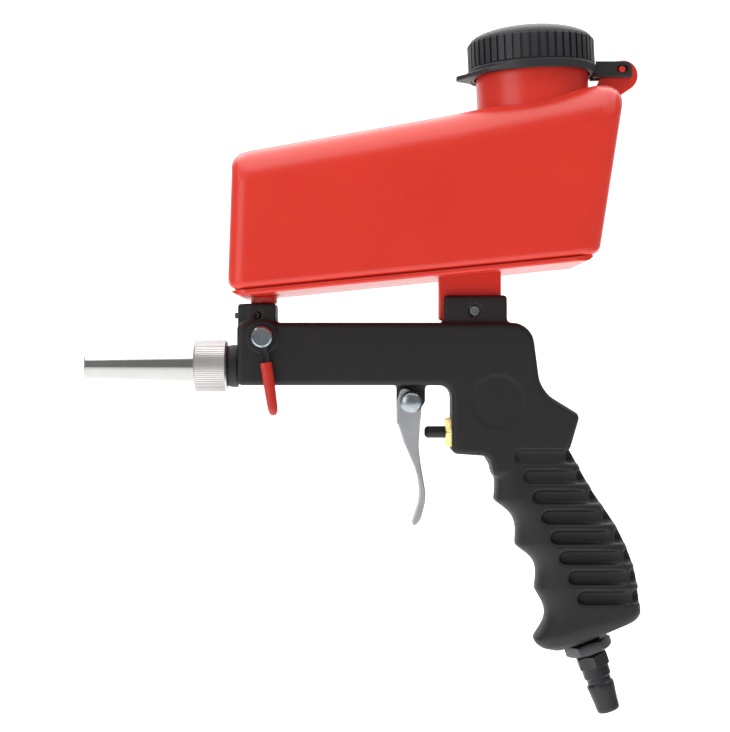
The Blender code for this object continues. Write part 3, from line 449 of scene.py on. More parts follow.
@dataclass(frozen=True)
class Finish:
    """A finish with fine grain in colour, roughness and relief.

    Sizes are real ones in millimetres. stretch multiplies the pattern's frequency along each
    axis, so a small number draws the grain out into lines along that axis.
    """

    name: str
    colour: str
    dark_colour: str
    metallic: float = 0.0
    roughness: float = 0.5
    roughness_spread: float = 0.06
    ior: float = 1.5
    coat: float = 0.0
    coat_roughness: float = 0.1
    grain_mm: float = 0.6
    grain_height_mm: float = 0.01
    cloud_mm: float = 18.0
    cloud_strength: float = 0.5
    stretch: tuple[float, float, float] = (1.0, 1.0, 1.0)
    anisotropy: float = 0.0
    scatter: float = 0.0
    edge_wear_and_sheen_colour: str = ""
    edge_wear_and_sheen_amount: float = 0.0

    def make(self) -> bpy.types.Material:
        """Builds the material.

        Returns:
            A new node-based material.
        """
        material = bpy.data.materials.new(self.name)
        material.use_nodes = True
        material.diffuse_color = linear(self.colour)
        tree = material.node_tree
        shader = tree.nodes["Principled BSDF"]
        coordinates = add_node(tree, "TexCoord").outputs["Object"]
        mapped = add_node(
            tree, "Mapping", {"Vector": coordinates, "Scale": self.stretch}
        ).outputs["Vector"]
        grain = add_node(
            tree,
            "TexNoise",
            {"Vector": mapped, "Scale": 1 / (self.grain_mm * MM), "Detail": 3.0, "Roughness": 0.6},
        ).outputs["Fac"]
        clouds = add_node(
            tree,
            "TexNoise",
            {"Vector": coordinates, "Scale": 1 / (self.cloud_mm * MM), "Detail": 2.0},
        ).outputs["Fac"]
        mixed = add_node(
            tree,
            "MapRange",
            {"Value": clouds, "From Min": 0.35, "From Max": 0.65, "To Min": 0.0, "To Max": self.cloud_strength},
        ).outputs["Result"]
        speckle = add_node(
            tree,
            "Math",
            {0: grain, 1: 0.35, 2: mixed},
            operation="MULTIPLY_ADD",
            use_clamp=True,
        ).outputs["Value"]
        colour = add_node(
            tree,
            "Mix",
            {"Factor": speckle, "A": linear(self.colour), "B": linear(self.dark_colour)},
            data_type="RGBA",
        )
        shade = self._edge_wear_and_sheen(tree, colour.outputs[2])
        tree.links.new(shade, shader.inputs["Base Color"])
        rough = add_node(
            tree,
            "MapRange",
            {
                "Value": grain,
                "From Min": 0.3,
                "From Max": 0.7,
                "To Min": max(self.roughness - self.roughness_spread, 0.02),
                "To Max": self.roughness + self.roughness_spread,
            },
        ).outputs["Result"]
        tree.links.new(rough, shader.inputs["Roughness"])
        bump = add_node(
            tree,
            "Bump",
            {"Height": grain, "Distance": self.grain_height_mm * MM, "Strength": 1.0},
        ).outputs["Normal"]
        tree.links.new(bump, shader.inputs["Normal"])
        shader.inputs["Metallic"].default_value = self.metallic
        if not self.metallic:
            shader.inputs["IOR"].default_value = self.ior
        shader.inputs["Coat Weight"].default_value = self.coat
        shader.inputs["Coat Roughness"].default_value = self.coat_roughness
        shader.inputs["Anisotropic"].default_value = self.anisotropy
        if self.scatter:
            shader.inputs["Subsurface Weight"].default_value = self.scatter
            shader.inputs["Subsurface Scale"].default_value = 2 * MM
            shader.inputs["Subsurface Radius"].default_value = (1.0, 0.25, 0.15)
        return material

    def _edge_wear_and_sheen(self, tree: bpy.types.NodeTree, colour: bpy.types.NodeSocket) -> bpy.types.NodeSocket:
        """Lightens sharp convex edges: partly rubbed wear, partly a painted highlight standing in for the sheen on
        rounded edges.

        Args:
            tree: the material's node tree.
            colour: the colour that it covers.

        Returns:
            The colour output with its lighter edges, part wear and part painted highlight.
        """
        if not self.edge_wear_and_sheen_amount:
            return colour
        # Painted edge highlight mixed with wear: convex edges, found by pointiness, are mixed towards a lighter colour.
        edges = add_node(tree, "NewGeometry").outputs["Pointiness"]
        along = add_node(
            tree,
            "MapRange",
            {"Value": edges, "From Min": 0.52, "From Max": 0.62, "To Min": 0.0, "To Max": self.edge_wear_and_sheen_amount},
        ).outputs["Result"]
        return add_node(
            tree,
            "Mix",
            {"Factor": along, "A": colour, "B": linear(self.edge_wear_and_sheen_colour)},
            data_type="RGBA",
        ).outputs[2]


@dataclass
class Finishes:
    """Every material on the gun, each made once."""

    # Polyester powder coat baked on sandblasted cast aluminium: a fine matte grain, no mirror.
    powder_coat: bpy.types.Material = field(init=False)
    # Rotomoulded polyethylene: even semi-gloss red, faint clouds, light entering the surface.
    hopper_red: bpy.types.Material = field(init=False)
    # Injection-moulded polypropylene: satin black with a soft sheen.
    cap_black: bpy.types.Material = field(init=False)
    # Hardened steel, turned and buffed: near-mirror with fine rings round the axis.
    nozzle_steel: bpy.types.Material = field(init=False)
    # Aluminium bar, turned and straight-knurled: bright with streaks along the axis.
    knurled_aluminium: bpy.types.Material = field(init=False)
    # Steel with clear zinc plating: bright, slightly blue and clouded.
    zinc_plate: bpy.types.Material = field(init=False)
    # Die-cast zinc alloy tumbled smooth: grey satin.
    tumbled_casting: bpy.types.Material = field(init=False)
    # Free-machining brass: warm, bright, fine turning marks.
    brass: bpy.types.Material = field(init=False)
    # Steel with a black oxide finish: dark, oily satin.
    black_oxide: bpy.types.Material = field(init=False)
    # Vinyl dip: soft glossy red skin.
    vinyl_dip: bpy.types.Material = field(init=False)
    # Nitrile rubber: matte black.
    rubber: bpy.types.Material = field(init=False)
    # Hard-drawn spring wire: grey, drawn smooth.
    spring_wire: bpy.types.Material = field(init=False)

    def __post_init__(self) -> None:
        """Makes the materials."""
        # The powder coat's lighter edges are partly wear and partly a painted highlight for the sheen on its rounded
        # edges.
        self.powder_coat = Finish(
            "polyester_powder_coat", "#0d0d0e", "#0a0a0a", roughness=0.6, roughness_spread=0.08,
            grain_mm=0.45, grain_height_mm=0.018, cloud_strength=0.35, edge_wear_and_sheen_colour="#1e1e1f",
            edge_wear_and_sheen_amount=0.5,
        ).make()
        self.hopper_red = Finish(
            "moulded_polyethylene", "#e03423", "#d42d1d", roughness=0.34, roughness_spread=0.04,
            grain_mm=1.2, grain_height_mm=0.004, cloud_mm=40.0, cloud_strength=0.5, scatter=0.12,
            coat=0.15, coat_roughness=0.25,
        ).make()
        self.cap_black = Finish(
            "moulded_polypropylene", "#26272a", "#1e1f22", roughness=0.46, roughness_spread=0.05,
            grain_mm=0.7, grain_height_mm=0.006,
        ).make()
        self.nozzle_steel = Finish(
            "buffed_hard_steel", "#b9b9b7", "#adadaa", metallic=1.0, roughness=0.18,
            roughness_spread=0.04, grain_mm=0.35, grain_height_mm=0.0012, stretch=(1.0, 0.03, 0.03),
            anisotropy=0.4, cloud_strength=0.3,
        ).make()
        self.knurled_aluminium = Finish(
            "knurled_aluminium", "#dcdad9", "#bfbcbb", metallic=1.0, roughness=0.42,
            roughness_spread=0.08, grain_mm=0.5, grain_height_mm=0.02, stretch=(0.04, 1.0, 1.0),
        ).make()
        self.zinc_plate = Finish(
            "clear_zinc_plate", "#a9b1b6", "#8f979d", metallic=1.0, roughness=0.27,
            roughness_spread=0.03, grain_mm=0.8, grain_height_mm=0.001, cloud_mm=4.0,
        ).make()
        self.tumbled_casting = Finish(
            "tumbled_zinc_casting", "#c2c3c6", "#abacb0", metallic=1.0, roughness=0.48,
            roughness_spread=0.08, grain_mm=0.5, grain_height_mm=0.012, cloud_mm=9.0,
        ).make()
        self.brass = Finish(
            "machined_brass", "#e6d596", "#cfb468", metallic=1.0, roughness=0.24,
            roughness_spread=0.05, grain_mm=0.4, grain_height_mm=0.004, cloud_mm=5.0,
        ).make()
        # Lighter edges here as on the powder coat: part wear, part painted edge highlight.
        self.black_oxide = Finish(
            "black_oxide_steel", "#343436", "#262628", metallic=0.6, roughness=0.38,
            roughness_spread=0.08, grain_mm=0.4, grain_height_mm=0.008, edge_wear_and_sheen_colour="#5c5c60",
            edge_wear_and_sheen_amount=0.5,
        ).make()
        self.vinyl_dip = Finish(
            "vinyl_dip", "#c4281c", "#b82318", roughness=0.3, roughness_spread=0.03, grain_mm=1.5,
            grain_height_mm=0.002, scatter=0.1, coat=0.2, coat_roughness=0.2,
        ).make()
        self.rubber = Finish(
            "nitrile_rubber", "#1d1d1e", "#171718", roughness=0.68, grain_mm=0.3,
        ).make()
        self.spring_wire = Finish(
            "drawn_spring_wire", "#a9a9ab", "#8c8c8e", metallic=1.0, roughness=0.3, grain_mm=0.3,
            grain_height_mm=0.003,
        ).make()


# ---------------------------------------------------------------------------------------------
# Cast body
# ---------------------------------------------------------------------------------------------


@dataclass
class Grip:
    """The hand grip: slices between a grooved front and a smooth back. Sizes in millimetres."""

    ridges: tuple[Point, ...] = (
        (113.6, -41.2), (118.0, -61.4), (127.7, -82.0), (136.7, -102.2), (136.1, -124.8),
    )
    groove_depths: tuple[float, ...] = (2.4, 4.4, 4.6, 5.0)
    back: tuple[Point, ...] = (
        (152.4, -38.0), (162.7, -56.4), (174.9, -74.9), (182.4, -93.0), (185.1, -111.0),
    )
    half_widths: tuple[float, ...] = (12.5, 14.4, 15.1, 15.0, 14.6)
    squareness: tuple[float, ...] = (5.0, 3.6, 3.0, 2.9, 3.0)
    top_slice: tuple[Point, Point, float, float] = ((112.0, -34.0), (149.0, -31.0), 11.5, 6.0)
    butt_slices: tuple[tuple[Point, Point, float, float], ...] = (
        ((136.5, -126.2), (185.2, -112.4), 14.2, 3.0),
        ((137.6, -127.6), (184.6, -114.0), 13.6, 3.0),
        ((140.2, -129.3), (183.3, -115.8), 12.6, 2.9),
        ((146.2, -130.6), (179.2, -117.4), 9.9, 2.7),
    )
    slices_per_groove: int = 10
    points: int = 56
    slot_count: int = 8
    slot_top: Point = (126.8, -41.1)
    slot_step: Point = (4.0, -9.11)
    slot_height: float = 6.1
    slot_floor: float = 11.2
    slot_web: float = 1.6
    slot_back_margin: float = 4.3

    @staticmethod
    def curve_point(points: Sequence[Point], t: float) -> Vector:
        """A point on the smooth curve through all of these.

        Args:
            points: what the curve passes through.
            t: how far along, counted in points.

        Returns:
            The point.
        """
        i = min(int(t), len(points) - 2)
        t -= i
        p1, p2 = Vector(points[i]), Vector(points[i + 1])
        p0 = Vector(points[i - 1]) if i else 2 * p1 - p2
        p3 = Vector(points[i + 2]) if i + 2 < len(points) else 2 * p2 - p1
        return 0.5 * (
            2 * p1 + (p2 - p0) * t + (2 * p0 - 5 * p1 + 4 * p2 - p3) * t * t
            + (3 * p1 - 3 * p2 + p3 - p0) * t**3
        )

    def groove_point(self, i: int, t: float) -> Vector:
        """A point on the arc that dips between one ridge and the next.

        Args:
            i: the groove's number from the top.
            t: how far down it, from 0 to 1.

        Returns:
            The point.
        """
        start, end = Vector(self.ridges[i]), Vector(self.ridges[i + 1])
        chord = end - start
        inward = Vector((-chord[1], chord[0])).normalized()
        # A flattened arch leaves the ridges rounded instead of pointed.
        arch = math.sin(math.pi * t) ** 1.15
        return start + chord * t + inward * self.groove_depths[i] * arch

    def slices(self) -> list[tuple[Vector, Vector, float, float]]:
        """Every slice from top to bottom.

        Returns:
            The front point, back point, half width and squareness of each.
        """
        found = [tuple(self.top_slice)]
        for i in range(len(self.groove_depths)):
            last = i == len(self.groove_depths) - 1
            for k in range(self.slices_per_groove + last):
                t = k / self.slices_per_groove
                width = self.half_widths[i] * (1 - t) + self.half_widths[i + 1] * t
                square = self.squareness[i] * (1 - t) + self.squareness[i + 1] * t
                found.append((self.groove_point(i, t), self.curve_point(self.back, i + t), width, square))
        return [*found, *self.butt_slices]

    def ring(self, front: Sequence[float], back: Sequence[float], width: float, square: float) -> list[Vector]:
        """The outline of one slice, a squared-off ellipse.

        Args:
            front: its front point.
            back: its back point.
            width: its half width.
            square: 2 for an ellipse, more for squarer corners.

        Returns:
            Its points in metres.
        """
        front, back = Vector(front), Vector(back)
        middle, reach = (front + back) / 2, (back - front) / 2
        outline = []
        for k in range(self.points):
            angle = math.tau * (k + 0.5) / self.points
            c, s = math.cos(angle), math.sin(angle)
            along = math.copysign(abs(c) ** (2 / square), c)
            side = math.copysign(abs(s) ** (2 / square), s)
            point = middle + reach * along
            outline.append(Vector((point[0], width * side, point[1])) * MM)
        return outline

    def build(self) -> bpy.types.Object:
        """Extrudes the grip slice by slice, and fits each slice to its outline.

        Returns:
            The grip, with no slots yet.
        """
        nothing_selected()
        bpy.ops.mesh.primitive_circle_add(vertices=self.points, radius=MM, fill_type="NGON")
        piece = bpy.context.object
        with editing(piece):
            bpy.ops.mesh.select_all(action="SELECT")
            for i, cut in enumerate(self.slices()):
                if i:
                    bpy.ops.mesh.extrude_region_move()
                self._fit(piece, self.ring(*cut))
        tidy(piece)
        return piece

    @staticmethod
    def _fit(piece: bpy.types.Object, outline: Sequence[Vector]) -> None:
        """Moves the selected ring of points onto an outline, keeping their order.

        Args:
            piece: the grip in edit mode.
            outline: the new places.
        """

        def order(points: Sequence[Vector]) -> list[int]:
            middle = sum(points, Vector()) / len(points)
            return sorted(
                range(len(points)),
                key=lambda i: math.atan2(points[i].y - middle.y, points[i].x - middle.x),
            )

        mesh = bmesh.from_edit_mesh(piece.data)
        chosen = [v for v in mesh.verts if v.select]
        for i, j in zip(order([v.co for v in chosen]), order(outline)):
            chosen[i].co = outline[j]
        bmesh.update_edit_mesh(piece.data)

    def back_at(self, height: float) -> float:
        """How far back the grip reaches.

        Args:
            height: where it is measured.

        Returns:
            The place of its back.
        """
        low, high = 0.0, len(self.back) - 1.0
        for _ in range(30):
            middle = (low + high) / 2
            if self.curve_point(self.back, middle)[1] > height:
                low = middle
            else:
                high = middle
        return self.curve_point(self.back, low)[0]

    def carve_slots(self, body: bpy.types.Object) -> None:
        """Cuts the ventilated slots into both flanks, and deeper behind.

        Args:
            body: the object that holds the grip.
        """
        half = self.slot_height / 2
        for k in range(self.slot_count):
            x = self.slot_top[0] + self.slot_step[0] * k
            z = self.slot_top[1] + self.slot_step[1] * k
            end = self.back_at(z) - self.slot_back_margin
            outline = ((x, z - half, half * 0.96), (end + 20, z - half, 0), (end + 20, z + half, 0),
                       (x, z + half, half * 0.96))
            for side in (-1, 1):
                low, high = sorted((side * self.slot_floor, side * 20))
                combine(body, plate("slot", outline, low, high), "DIFFERENCE")
                low, high = sorted((side * self.slot_web, side * 19))
                behind = brick("slot_back", (end, low, z - half + 0.02), (end + 19, high, z + half - 0.02))
                combine(body, behind, "DIFFERENCE")


@dataclass
class CastBody:
    """The cast pistol body. Sizes in millimetres."""

    outline: tuple[Corner, ...] = (
        (0.9, -8.8, 2.2), (98.3, -8.8, 5.5), (98.3, -39.8, 2.6), (115.2, -40.9, 4.5),
        (117.4, -50.0, 0.0), (147.0, -48.0, 0.0), (151.6, -38.5, 6.0), (156.4, -22.2, 3.0),
        (138.5, -11.2, 14.0), (134.5, 19.7, 10.0), (0.9, 19.7, 2.5),
    )
    half_width: float = 13.0
    edge: float = 2.2
    turret: tuple[float, float, float, float] = (0.8, 18.4, 28.4, 11.0)
    turret_chamfer: float = 5.2
    bracket: tuple[Corner, ...] = ((94.7, 15.0, 0), (123.4, 15.0, 0), (123.4, 32.2, 1.4), (94.7, 32.2, 1.4))
    bracket_half_width: float = 11.0
    bracket_edge: float = 1.3
    tongue_slot: tuple[float, float, float] = (6.3, 20.6, 121.3)
    lug: tuple[Corner, ...] = (
        (73.4, -19.6, 1.0), (84.3, -19.6, 1.0), (86.4, -16.6, 1.0), (86.4, -5.0, 0), (73.4, -5.0, 0),
    )
    lug_half_width: float = 5.0
    medallion: tuple[float, float, float, float] = (119.0, -16.1, 12.25, 0.35)
    spindle: Point = (12.5, 13.1)
    valve_height: float = -30.3
    voxel: float = 0.72
    smoothing: int = 5
    grip: Grip = field(default_factory=Grip)

    def build(self) -> bpy.types.Object:
        """Joins frame, grip, turret, bracket and lug, bores them, and blends it all as a casting.

        Returns:
            The finished body.
        """
        w = self.half_width
        body = plate("cast_body", self.outline, -w, w, segments=8)
        round_rims(body, -w, w, self.edge)
        tidy(body)
        combine(body, self.grip.build(), "UNION")
        combine(body, self._turret(), "UNION")
        b = self.bracket_half_width
        bracket = plate("bracket", self.bracket, -b, b)
        round_rims(bracket, -b, b, self.bracket_edge)
        combine(body, bracket, "UNION")
        combine(body, plate("lug", self.lug, -self.lug_half_width, self.lug_half_width), "UNION")
        self.grip.carve_slots(body)
        self._bore(body)
        body = self._cast(body)
        body.name = "cast_body"
        return body

    def _turret(self) -> bpy.types.Object:
        """The block under the spout, with its two front corners cut off."""
        front, back, top, half = self.turret
        block = brick("turret", (front, -half, 14), (back, half, top))
        with editing(block):
            choose(
                block,
                edge=lambda e: all(abs(v.co.x - front * MM) < 1e-6 for v in e.verts)
                and abs(e.verts[0].co.y - e.verts[1].co.y) < 1e-6,
            )
            bpy.ops.mesh.bevel(offset=self.turret_chamfer * MM, segments=1, affect="EDGES")
        soften(block, 0.7, segments=3, angle=30)
        return block

    def _bore(self, body: bpy.types.Object) -> None:
        """Cuts the slot for the hopper's tongue and every hole that opens at the surface.

        Args:
            body: the joined body.
        """
        half, floor, end = self.tongue_slot
        combine(body, brick("tongue_slot", (85, -half, floor), (end, half, 50)), "DIFFERENCE")
        x, z, radius, depth = self.medallion
        along_y, along_x = Vector(Axis.Y.value), Vector(Axis.X.value)
        for side in (-1, 1):
            start = -20 if side < 0 else self.half_width - depth
            length = 20 - self.half_width + depth
            combine(body, bar("recess", (x, start, z), along_y, radius, length), "DIFFERENCE")
        x, z = self.spindle
        up = Vector(Axis.Z.value)
        holes = (
            ((-5, 0, 0), along_x, 7.8, 11.3),
            ((-5, 0, 0), along_x, 6.0, 29.0),
            ((20, 0, 0), along_x, 4.3, 11.3),
            ((x, -20, z), along_y, 4.6, 40),
            ((x, 0, 0), up, 3.4, 25),
            ((x, 0, 19.4), up, 5.0, 20),
            ((10.3, -20, 23.0), along_y, 1.65, 17),
            ((-5, 0, 23.2), along_x, 1.65, 14),
            ((108.6, -20, 25.1), along_y, 2.5, 40),
            ((80.0, -9, -16.4), along_y, 2.8, 18),
            ((90, 0, self.valve_height), along_x, 8.3, 11.6),
            ((95, 0, self.valve_height), along_x, 5.2, 33.6),
            ((162.65, 0, -132.4), Vector((-math.sin(math.radians(18)), 0, math.cos(math.radians(18)))), 6.4, 22),
        )
        for place, direction, radius, length in holes:
            combine(body, bar("hole", place, direction, radius, length), "DIFFERENCE")

    def _cast(self, body: bpy.types.Object) -> bpy.types.Object:
        """Rebuilds the surface as one even skin and relaxes it, which rounds every edge as casting does.

        Args:
            body: the bored body.

        Returns:
            The same object.
        """
        apply_modifier(body, "REMESH", mode="VOXEL", voxel_size=self.voxel * MM)
        apply_modifier(body, "SMOOTH", factor=0.5, iterations=self.smoothing)
        pick(body)
        bpy.ops.object.shade_smooth()
        return body


# ---------------------------------------------------------------------------------------------
# Nozzle end
# ---------------------------------------------------------------------------------------------


def laid(piece: bpy.types.Object, direction: Axis, place: Sequence[float] = (0, 0, 0)) -> bpy.types.Object:
    """Lays a turned piece along one of the gun's axes.

    Args:
        piece: a piece turned about Z.
        direction: where its +Z goes.
        place: where its origin goes, in millimetres.

    Returns:
        The same object.
    """
    settle(piece, Vector(place) * MM, Vector(direction.value).to_track_quat("Z", "Y").to_euler())
    return piece


def around(face: bmesh.types.BMFace, count: int) -> int:
    """Which of a number of equal steps round Z a face lies in.

    Args:
        face: a face of a piece turned about Z.
        count: how many steps make a full turn.

    Returns:
        The step's number.
    """
    middle = face.calc_center_median()
    return math.floor(math.atan2(middle.y, middle.x) / math.tau * count) % count


@dataclass
class NozzleEnd:
    """Steel nozzle, knurled clamp nut and the adapter collar. Sizes in millimetres."""

    tip: float = -69.6
    nut_front: float = -19.1
    nut_back: float = -4.2
    nut_radius: float = 11.8
    knurls: int = 72
    knurl_depth: float = 0.22
    tube_radius: float = 7.45
    tip_radius: float = 5.7
    bore: float = 3.5

    def nozzle(self) -> bpy.types.Object:
        """The tapered tube with its clamping flange.

        Returns:
            The nozzle.
        """
        shoulder = self.nut_front + 1.6
        stations = (
            (self.bore, self.tip + 0.6), (self.bore + 0.5, self.tip), (self.tip_radius - 0.45, self.tip),
            (self.tip_radius, self.tip + 0.45), (self.tube_radius, shoulder), (self.tube_radius, -8.4),
            (9.0, -8.4), (9.0, -6.4), (self.bore, -6.4),
        )
        piece = turned("nozzle_tube", stations, 128, solid=False)
        soften(piece, 0.12)
        tidy(piece, 32)
        return laid(piece, Axis.X)

    def nut(self) -> bpy.types.Object:
        """The clamp nut, with straight knurls pressed between its chamfers.

        Returns:
            The nut.
        """
        r, front, back = self.nut_radius, self.nut_front, self.nut_back
        stations = (
            (7.8, front), (r - 0.8, front), (r, front + 0.7), (r, back - 0.7), (r - 0.8, back),
            (9.3, back), (9.3, front + 2.4), (7.8, front + 2.4),
        )
        piece = turned("clamp_nut", stations, self.knurls * 2, solid=False)
        with editing(piece):
            choose(
                piece,
                face=lambda f: around(f, self.knurls * 2) % 2 == 0
                and f.calc_center_median().xy.length > (r - 0.1) * MM,
            )
            bpy.ops.mesh.extrude_region_shrink_fatten(
                TRANSFORM_OT_shrink_fatten={"value": -self.knurl_depth * MM}
            )
        tidy(piece, 25)
        return laid(piece, Axis.X)

    def collar(self) -> bpy.types.Object:
        """The stepped adapter between nut and body.

        Returns:
            The collar.
        """
        stations = (
            (6.3, -5.7), (8.6, -5.7), (8.9, -5.4), (8.9, -3.9), (9.2, -3.9), (9.7, -2.2), (9.7, 0.6),
            (7.5, 0.6), (7.5, 6.0), (6.3, 6.0),
        )
        piece = turned("adapter_collar", stations, 96, solid=False)
        soften(piece, 0.2)
        tidy(piece, 32)
        return laid(piece, Axis.X)

    def deliver(self, shop: Workshop, finishes: Finishes) -> None:
        """Builds and delivers the three pieces.

        Args:
            shop: places them.
            finishes: their materials.
        """
        shop.deliver(self.nozzle(), "gun", "polished_steel", finishes.nozzle_steel, ["nozzle"])
        shop.deliver(self.nut(), "clamp_nut", "turned_aluminium", finishes.knurled_aluminium, ["nozzle_nut"])
        shop.deliver(self.collar(), "gun", "black_powder_coat", finishes.powder_coat, ["nozzle_collar"])


# ---------------------------------------------------------------------------------------------
# Media valve
# ---------------------------------------------------------------------------------------------


@dataclass
class MediaValve:
    """Rotary spindle with its channel lever and dipped sleeve. Sizes in millimetres."""

    place: Point = (12.5, 13.1)
    radius: float = 4.3
    head_radius: float = 4.75
    head_face: float = -18.2
    lever_middle: float = -15.45
    lever_thickness: float = 1.3
    lever_width: float = 3.9
    lever_length: float = 31.0
    lean: float = math.radians(8.6)
    boss: tuple[Point, ...] = ((4.85, -13.75), (6.9, -13.75), (7.05, -13.6), (7.6, -13.2), (7.6, -12.0), (4.85, -12.0))

    def collar(self) -> bpy.types.Object:
        """The machined boss round the spindle, with its chamfered rim.

        Returns:
            The boss.
        """
        piece = turned("spindle_boss", self.boss, 96, solid=False)
        tidy(piece, 25)
        return laid(piece, Axis.Y, (self.place[0], 0, self.place[1]))

    def spindle(self) -> bpy.types.Object:
        """The spindle, grooved for its seals and drilled for the media.

        Returns:
            The spindle.
        """
        face, head, r = self.head_face, self.head_radius, self.radius
        stations = [
            (head - 1.2, face + 0.45), (head - 1.0, face), (head - 0.75, face), (head, face + 0.75),
            (head, face + 1.8), (2.6, face + 1.8), (2.6, -14.5), (r - 0.3, -14.5), (r, -14.2),
        ]
        for groove in (-8.6, 7.6):
            stations += [(r, groove), (r - 1.1, groove), (r - 1.1, groove + 1.4), (r, groove + 1.4)]
        stations += [(r, 13.5), (2.6, 13.5), (2.6, 14.3), (3.4, 14.3), (3.4, 14.9), (3.1, 15.2)]
        piece = laid(turned("media_spindle", stations, 72, solid=True), Axis.Y, (self.place[0], 0, self.place[1]))
        port = bar("port", (self.place[0], 0, 0), Vector(Axis.Z.value), 2.8, 25)
        combine(piece, port, "DIFFERENCE")
        tidy(piece, 32)
        return piece

    def _tilted(self, piece: bpy.types.Object) -> bpy.types.Object:
        """Hangs a lever piece from the spindle at the lever's angle.

        Args:
            piece: modelled straight down from the origin.

        Returns:
            The same object.
        """
        settle(piece, Vector((self.place[0], 0, self.place[1])) * MM, Euler((0, -self.lean, 0)))
        return piece

    def lever(self) -> bpy.types.Object:
        """The pressed lever: an eye round the spindle and a grooved arm with two rails.

        Returns:
            The lever.
        """
        half, low = self.lever_width / 2, self.lever_middle - self.lever_thickness / 2
        high = low + self.lever_thickness
        corners = (
            (-half, 0, 0), (-half, -self.lever_length, 0.8), (half, -self.lever_length, 0.8), (half, 0, 0),
        )
        arm = plate("valve_lever", corners, low, high)
        eye = laid(turned("eye", ((4.4, low), (4.4, high)), 64, solid=True), Axis.Y)
        combine(arm, eye, "UNION")
        combine(arm, bar("hole", (0, -20, 0), Vector(Axis.Y.value), 2.9, 20), "DIFFERENCE")
        channel = brick("channel", (-half + 0.85, low - 1, -12.2), (half - 0.85, low + 0.55, -4.7))
        combine(arm, channel, "DIFFERENCE")
        soften(arm, 0.15)
        tidy(arm, 30)
        return self._tilted(arm)

    def sleeve(self) -> bpy.types.Object:
        """The soft sleeve, thickest at its rolled lip and closed round the lever's end.

        Returns:
            The sleeve.
        """
        stations = (
            (0.6, -35.75), (1.35, -35.3), (1.95, -34.3), (2.25, -32.5), (2.35, -30.0), (2.55, -22.0),
            (2.62, -14.0), (2.62, -12.9), (2.75, -12.2), (2.62, -11.8), (2.3, -11.7),
        )
        piece = turned("lever_sleeve", stations, 40, solid=True)
        with editing(piece):
            bpy.ops.mesh.select_all(action="SELECT")
            bpy.ops.transform.resize(value=(1, 0.86, 1), center_override=(0, 0, 0))
            bpy.ops.transform.translate(value=(0, self.lever_middle * MM, 0))
        half = self.lever_width / 2 + 0.1
        thick = self.lever_thickness / 2 + 0.1
        pocket = brick(
            "pocket",
            (-half, self.lever_middle - thick, -self.lever_length - 0.3),
            (half, self.lever_middle + thick, -10),
        )
        combine(piece, pocket, "DIFFERENCE")
        tidy(piece, 40)
        return self._tilted(piece)

    def deliver(self, shop: Workshop, finishes: Finishes) -> None:
        """Builds and delivers the three pieces.

        Args:
            shop: places them.
            finishes: their materials.
        """
        shop.deliver(self.collar(), "gun", "black_powder_coat", finishes.powder_coat, [])
        shop.deliver(self.spindle(), "media_valve", "zinc_plated_steel", finishes.zinc_plate, ["media_spindle"])
        shop.deliver(self.lever(), "media_valve", "black_oxide_steel", finishes.black_oxide, ["valve_lever"])
        shop.deliver(self.sleeve(), "media_valve", "red_vinyl", finishes.vinyl_dip, ["lever_sleeve"])


# ---------------------------------------------------------------------------------------------
# Hopper
# ---------------------------------------------------------------------------------------------


